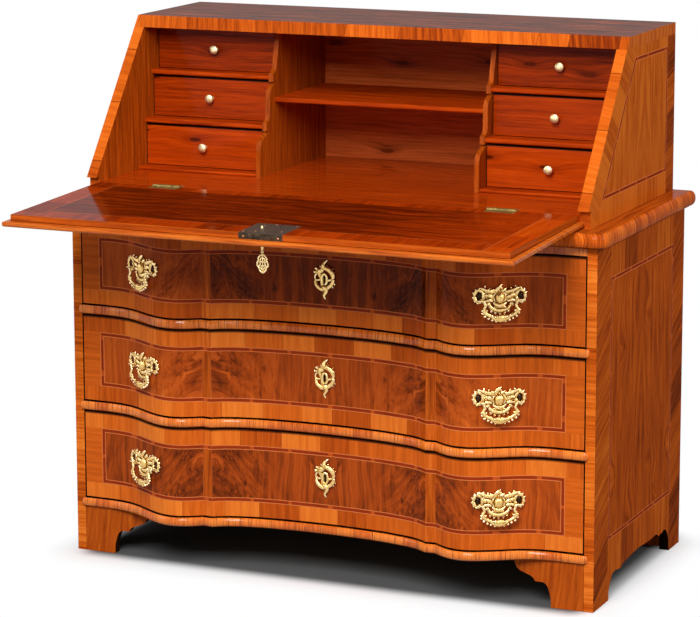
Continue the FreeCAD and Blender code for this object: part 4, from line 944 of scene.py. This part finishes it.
def lay_on_front(mesh, x, z):
    """Bends a casting onto the serpentine front, its middle at x and z. Returns its points."""
    across, back, up = columns(mesh)
    on = x + across / math.hypot(1, front_slope(x))
    lean = front_slope(on)
    size = np.hypot(1, lean)
    return np.stack([on - back * lean / size, front_y(on) + back / size, z + up], 1)


def turn_to_front(mesh, x, z):
    """Sets a stiff casting square to the front at x and z. Returns its points."""
    across, back, up = columns(mesh)
    turn = math.atan(front_slope(x))
    c, s = math.cos(turn), math.sin(turn)
    return np.stack([x + across * c - back * s, front_y(x) + across * s + back * c, z + up], 1)


def piece(name, parts, finishes, body, slot, *replaced):
    """One object from (mesh, points, number of its finish), riding on a body in place of CAD nodes."""
    points, faces, numbers = [], [], []
    count = 0
    for mesh, place, number in parts:
        points.append(place)
        faces += [[i + count for i in p.vertices] for p in mesh.polygons]
        numbers += [number] * len(mesh.polygons)
        count += len(place)
    made = bpy.data.meshes.new(name)
    made.from_pydata(np.vstack(points).tolist(), [], faces)
    made.polygons.foreach_set("use_smooth", [True] * len(faces))
    for finish in finishes:
        made.materials.append(finish)
    made.polygons.foreach_set("material_index", numbers)
    obj = placed(name, made)
    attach(obj, body)
    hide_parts(*replaced)


# the handles' distance from the middle, and how far below and above it handles and keyholes sit
HANDLE_X, HANDLE_DROP, KEYHOLE_LIFT = 0.379, 0.004, 0.003
plate_mesh, bail_mesh, keyhole_mesh = handle_plate(), bail_casting(), keyhole_plate()
eye_mesh = lens_mesh(*((x, POST_UP - 0.5, 0.2, 5.2, 6.8, 3.4) for x in (-POST_X, POST_X)))
# the keyhole's opening as a near-black lens: painted shade
slot_shade_mesh = lens_mesh((0, 6.2, 3.6, 2.8, 3.4, 1.2), (0.2, 0, 3.6, 2.1, 8.0, 1.2))
for drawer in DRAWERS:
    low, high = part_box(drawer + "_front")
    middle = (low.z + high.z) / 2
    height = middle - HANDLE_DROP
    laid = [(mesh, lay_on_front(mesh, x, height), int(mesh is not plate_mesh))
            for x in (-HANDLE_X, HANDLE_X) for mesh in (plate_mesh, eye_mesh)]
    laid += [(mesh, lay_on_front(mesh, 0.0, middle + KEYHOLE_LIFT), 2 * int(mesh is slot_shade_mesh))
             for mesh in (keyhole_mesh, slot_shade_mesh)]
    piece(drawer + "_cast_brasses", laid, (brass, blackened, keyhole_shade), drawer, "brass", drawer + "_brasses")
    for side, x in (("left", -HANDLE_X), ("right", HANDLE_X)):
        name = f"{drawer}_{side}_bail"
        laid = [(bail_mesh, turn_to_front(bail_mesh, x, height), 0)]
        piece(name + "_casting", laid, (brass,), name, "brass", name)

key_low, key_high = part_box("flap_key")
key_mesh = key_casting((key_high.z - key_low.z) / MM)
key_at = Vector(joints["flap_key_turn"]["pos_m"])
key_foot = key_at + flap_up * ((key_low.z - key_at.z) / flap_up.z)
across, back, up = columns(key_mesh)
right = Vector((1, 0, 0))
key_points = (np.array(key_foot) + np.outer(across, right) - np.outer(back, right.cross(flap_up))
              + np.outer(up, flap_up))
piece("flap_key_casting", [(key_mesh, key_points, 0)], (brass,), "flap_key", "brass", "flap_key")


# Nails and rivets

class Heads(Nodes):
    """Geometry nodes that set a domed head on every point, all of them facing one way."""

    def __init__(self, name):
        self.tree = bpy.data.node_groups.new(name, "GeometryNodeTree")
        for label, kind, way in (("Geometry", "Geometry", "INPUT"), ("Radius", "Float", "INPUT"),
                                 ("Height", "Float", "INPUT"), ("Direction", "Vector", "INPUT"),
                                 ("Finish", "Material", "INPUT"), ("Geometry", "Geometry", "OUTPUT")):
            self.tree.interface.new_socket(label, in_out=way, socket_type="NodeSocket" + kind)
        start = self.tree.nodes.new("NodeGroupInput")
        given = {socket.name: Val(self, socket) for socket in start.outputs}
        dome = self.node("GeometryNodeMeshUVSphere", sockets={"Segments": 12, "Rings": 6, "Radius": 1.0})
        size = self.node("ShaderNodeCombineXYZ",
                         sockets={"X": given["Radius"], "Y": given["Radius"], "Z": given["Height"]})
        stand = self.node("FunctionNodeAlignRotationToVector", {"axis": "Z"}, {"Vector": given["Direction"]})
        chance = self.node("FunctionNodeRandomValue", {"data_type": "FLOAT"}, {"Max": 3.0, "Seed": 7}, out=1)
        spin = self.node("FunctionNodeAxisAngleToRotation", sockets={"Axis": (0, 0, 1), "Angle": chance})
        turned = self.node("FunctionNodeRotateRotation", {"rotation_space": "LOCAL"},
                           {"Rotation": stand, "Rotate By": spin})
        dots = self.node("GeometryNodeMeshToPoints", sockets={"Mesh": given["Geometry"]})
        spread = self.node("GeometryNodeInstanceOnPoints",
                           sockets={"Points": dots, "Instance": dome, "Rotation": turned, "Scale": size})
        real = self.node("GeometryNodeRealizeInstances", sockets={"Geometry": spread})
        done = self.node("GeometryNodeSetMaterial", sockets={"Geometry": real, "Material": given["Finish"]})
        self.connect(self.tree.nodes.new("NodeGroupOutput"), "Geometry", done)


nail_tree = Heads("nail_heads").tree


def heads(name, places, radius, height, direction, finish):
    """Heads on the flap at the places, radius and height in millimetres."""
    mesh = bpy.data.meshes.new(name)
    mesh.from_pydata([tuple(p) for p in places], [], [])
    obj = placed(name, mesh)
    grow = obj.modifiers.new("heads", "NODES")
    grow.node_group = nail_tree
    values = {"Radius": radius * MM, "Height": height * MM, "Direction": direction, "Finish": finish}
    for item in nail_tree.interface.items_tree:
        if item.in_out == "INPUT" and item.name in values:
            grow[item.identifier] = values[item.name]
    done = bpy.data.meshes.new_from_object(obj.evaluated_get(bpy.context.evaluated_depsgraph_get()))
    obj.modifiers.remove(grow)
    obj.data = done
    done.polygons.foreach_set("use_smooth", [True] * len(done.polygons))
    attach(obj, "flap")


def on_flap(x, out, up):
    """A point on the flap: x, then out from the hinge line and up from its inner face, in mm."""
    return Vector((x * MM, 0, 0)) + hinge + flap_out * out * MM + flap_up * up * MM


# from the hinge line to the flap's front edge and to the key
FLAP_REACH, KEY_REACH = 356.9, 310.3
NAILS = ((-21, 9), (1, 17), (50, 26), (-5, 67), (14, 82), (57, 78))
nails = [on_flap(x, FLAP_REACH - back, 0.2) for x, back in NAILS]
heads("lock_nails", nails, radius=1.5, height=0.8, direction=flap_up, finish=copper)
rivets = [on_flap(x, FLAP_REACH + 0.2, -7.5) for x in (-17, 54)]
heads("lock_rivets", rivets, radius=2.2, height=0.9, direction=flap_out, finish=copper)
pin = [on_flap(0, KEY_REACH, 0.5)]
heads("lock_pin", pin, radius=2.6, height=4.5, direction=flap_up, finish=plain_brass)


# Floor, light and camera

def floor():
    f = Finish("pale_floor")
    half, below = 60.0, -0.0005
    corners = ((-half, -half), (half, -half), (half, half), (-half, half))
    mesh = bpy.data.meshes.new("floor")
    mesh.from_pydata([(x, y, below) for x, y in corners], [], [(0, 1, 2, 3)])
    obj = placed("floor", mesh)
    # distance outside the case's footprint
    half_width, middle_y, half_depth = 510.0, 160.0, 250.0
    x, y, _ = f.place()
    wide = (x.abs() - half_width).most(0.0)
    deep = ((y - middle_y).abs() - half_depth).most(0.0)
    reach = (wide * wide + deep * deep).root()
    # painted shadow darkens the floor under the case, then the lamps' shadow fades into plain white
    painted_shadow_reach, shadow_reach = 60.0, 130.0
    seen = f.seen()
    near = f.mix(reach.ease(painted_shadow_reach, 0.0), tint(246, 246, 246), tint(96, 96, 96))
    f.show(f.mix(seen, tint(150, 150, 150), near), rough=0.9, coat=0.0)
    glow = f.node("ShaderNodeEmission", sockets={"Color": (1.0, 1.0, 1.0), "Strength": 1.0})
    share = reach.ease(0.0, shadow_reach) * seen
    blend = f.node("ShaderNodeMixShader", sockets={0: share, 1: Val(f, f.shader.outputs[0]), 2: glow})
    f.connect(f.surface, "Surface", blend)
    mesh.materials.append(f.material)


class Sky(Nodes):
    """The world: white to the camera and in reflections, grey in the light that it sheds."""

    def __init__(self, name):
        self.world = bpy.data.worlds.new(name)
        self.world.use_nodes = True
        self.tree = self.world.node_tree
        grey, white = (0.2, 0.2, 0.21), (1.0, 1.0, 1.0)
        shown = self.mix(self.seen(), grey, white)
        self.connect(self.tree.nodes["Background"], "Color", shown)


def lamp(name, place, aim, wide, tall, watts):
    data = bpy.data.lights.new(name, "AREA")
    data.shape = "RECTANGLE"
    data.size, data.size_y = wide, tall
    data.energy = watts
    obj = placed(name, data)
    obj.location = place
    obj.rotation_euler = (Vector(aim) - Vector(place)).to_track_quat("-Z", "Y").to_euler()


def camera():
    data = bpy.data.cameras.new("camera")
    data.sensor_width = 36.0
    data.lens = 156.2
    data.shift_x, data.shift_y = 0.0143, -0.083
    obj = placed("camera", data)
    place, look, roll = (2.39018, -5.40027, 1.74465), (-0.3994, 0.8984, -0.1824), math.radians(-0.18)
    turn = Vector(look).to_track_quat("-Z", "Y").to_matrix().to_4x4()
    obj.matrix_world = Matrix.Translation(place) @ turn @ Matrix.Rotation(roll, 4, "Z")
    scene.camera = obj


floor()
scene.world = Sky("studio").world
lamp("key", (0.6, -3.0, 2.9), (0, 0, 0.5), wide=1.6, tall=1.8, watts=156)
lamp("left_fill", (-3.4, -2.2, 2.0), (0, 0, 0.5), wide=1.6, tall=1.6, watts=20)
lamp("right_fill", (4.0, -0.6, 2.4), (0.3, 0.1, 0.5), wide=1.6, tall=1.6, watts=67)
camera()
scene.view_settings.view_transform = "Standard"
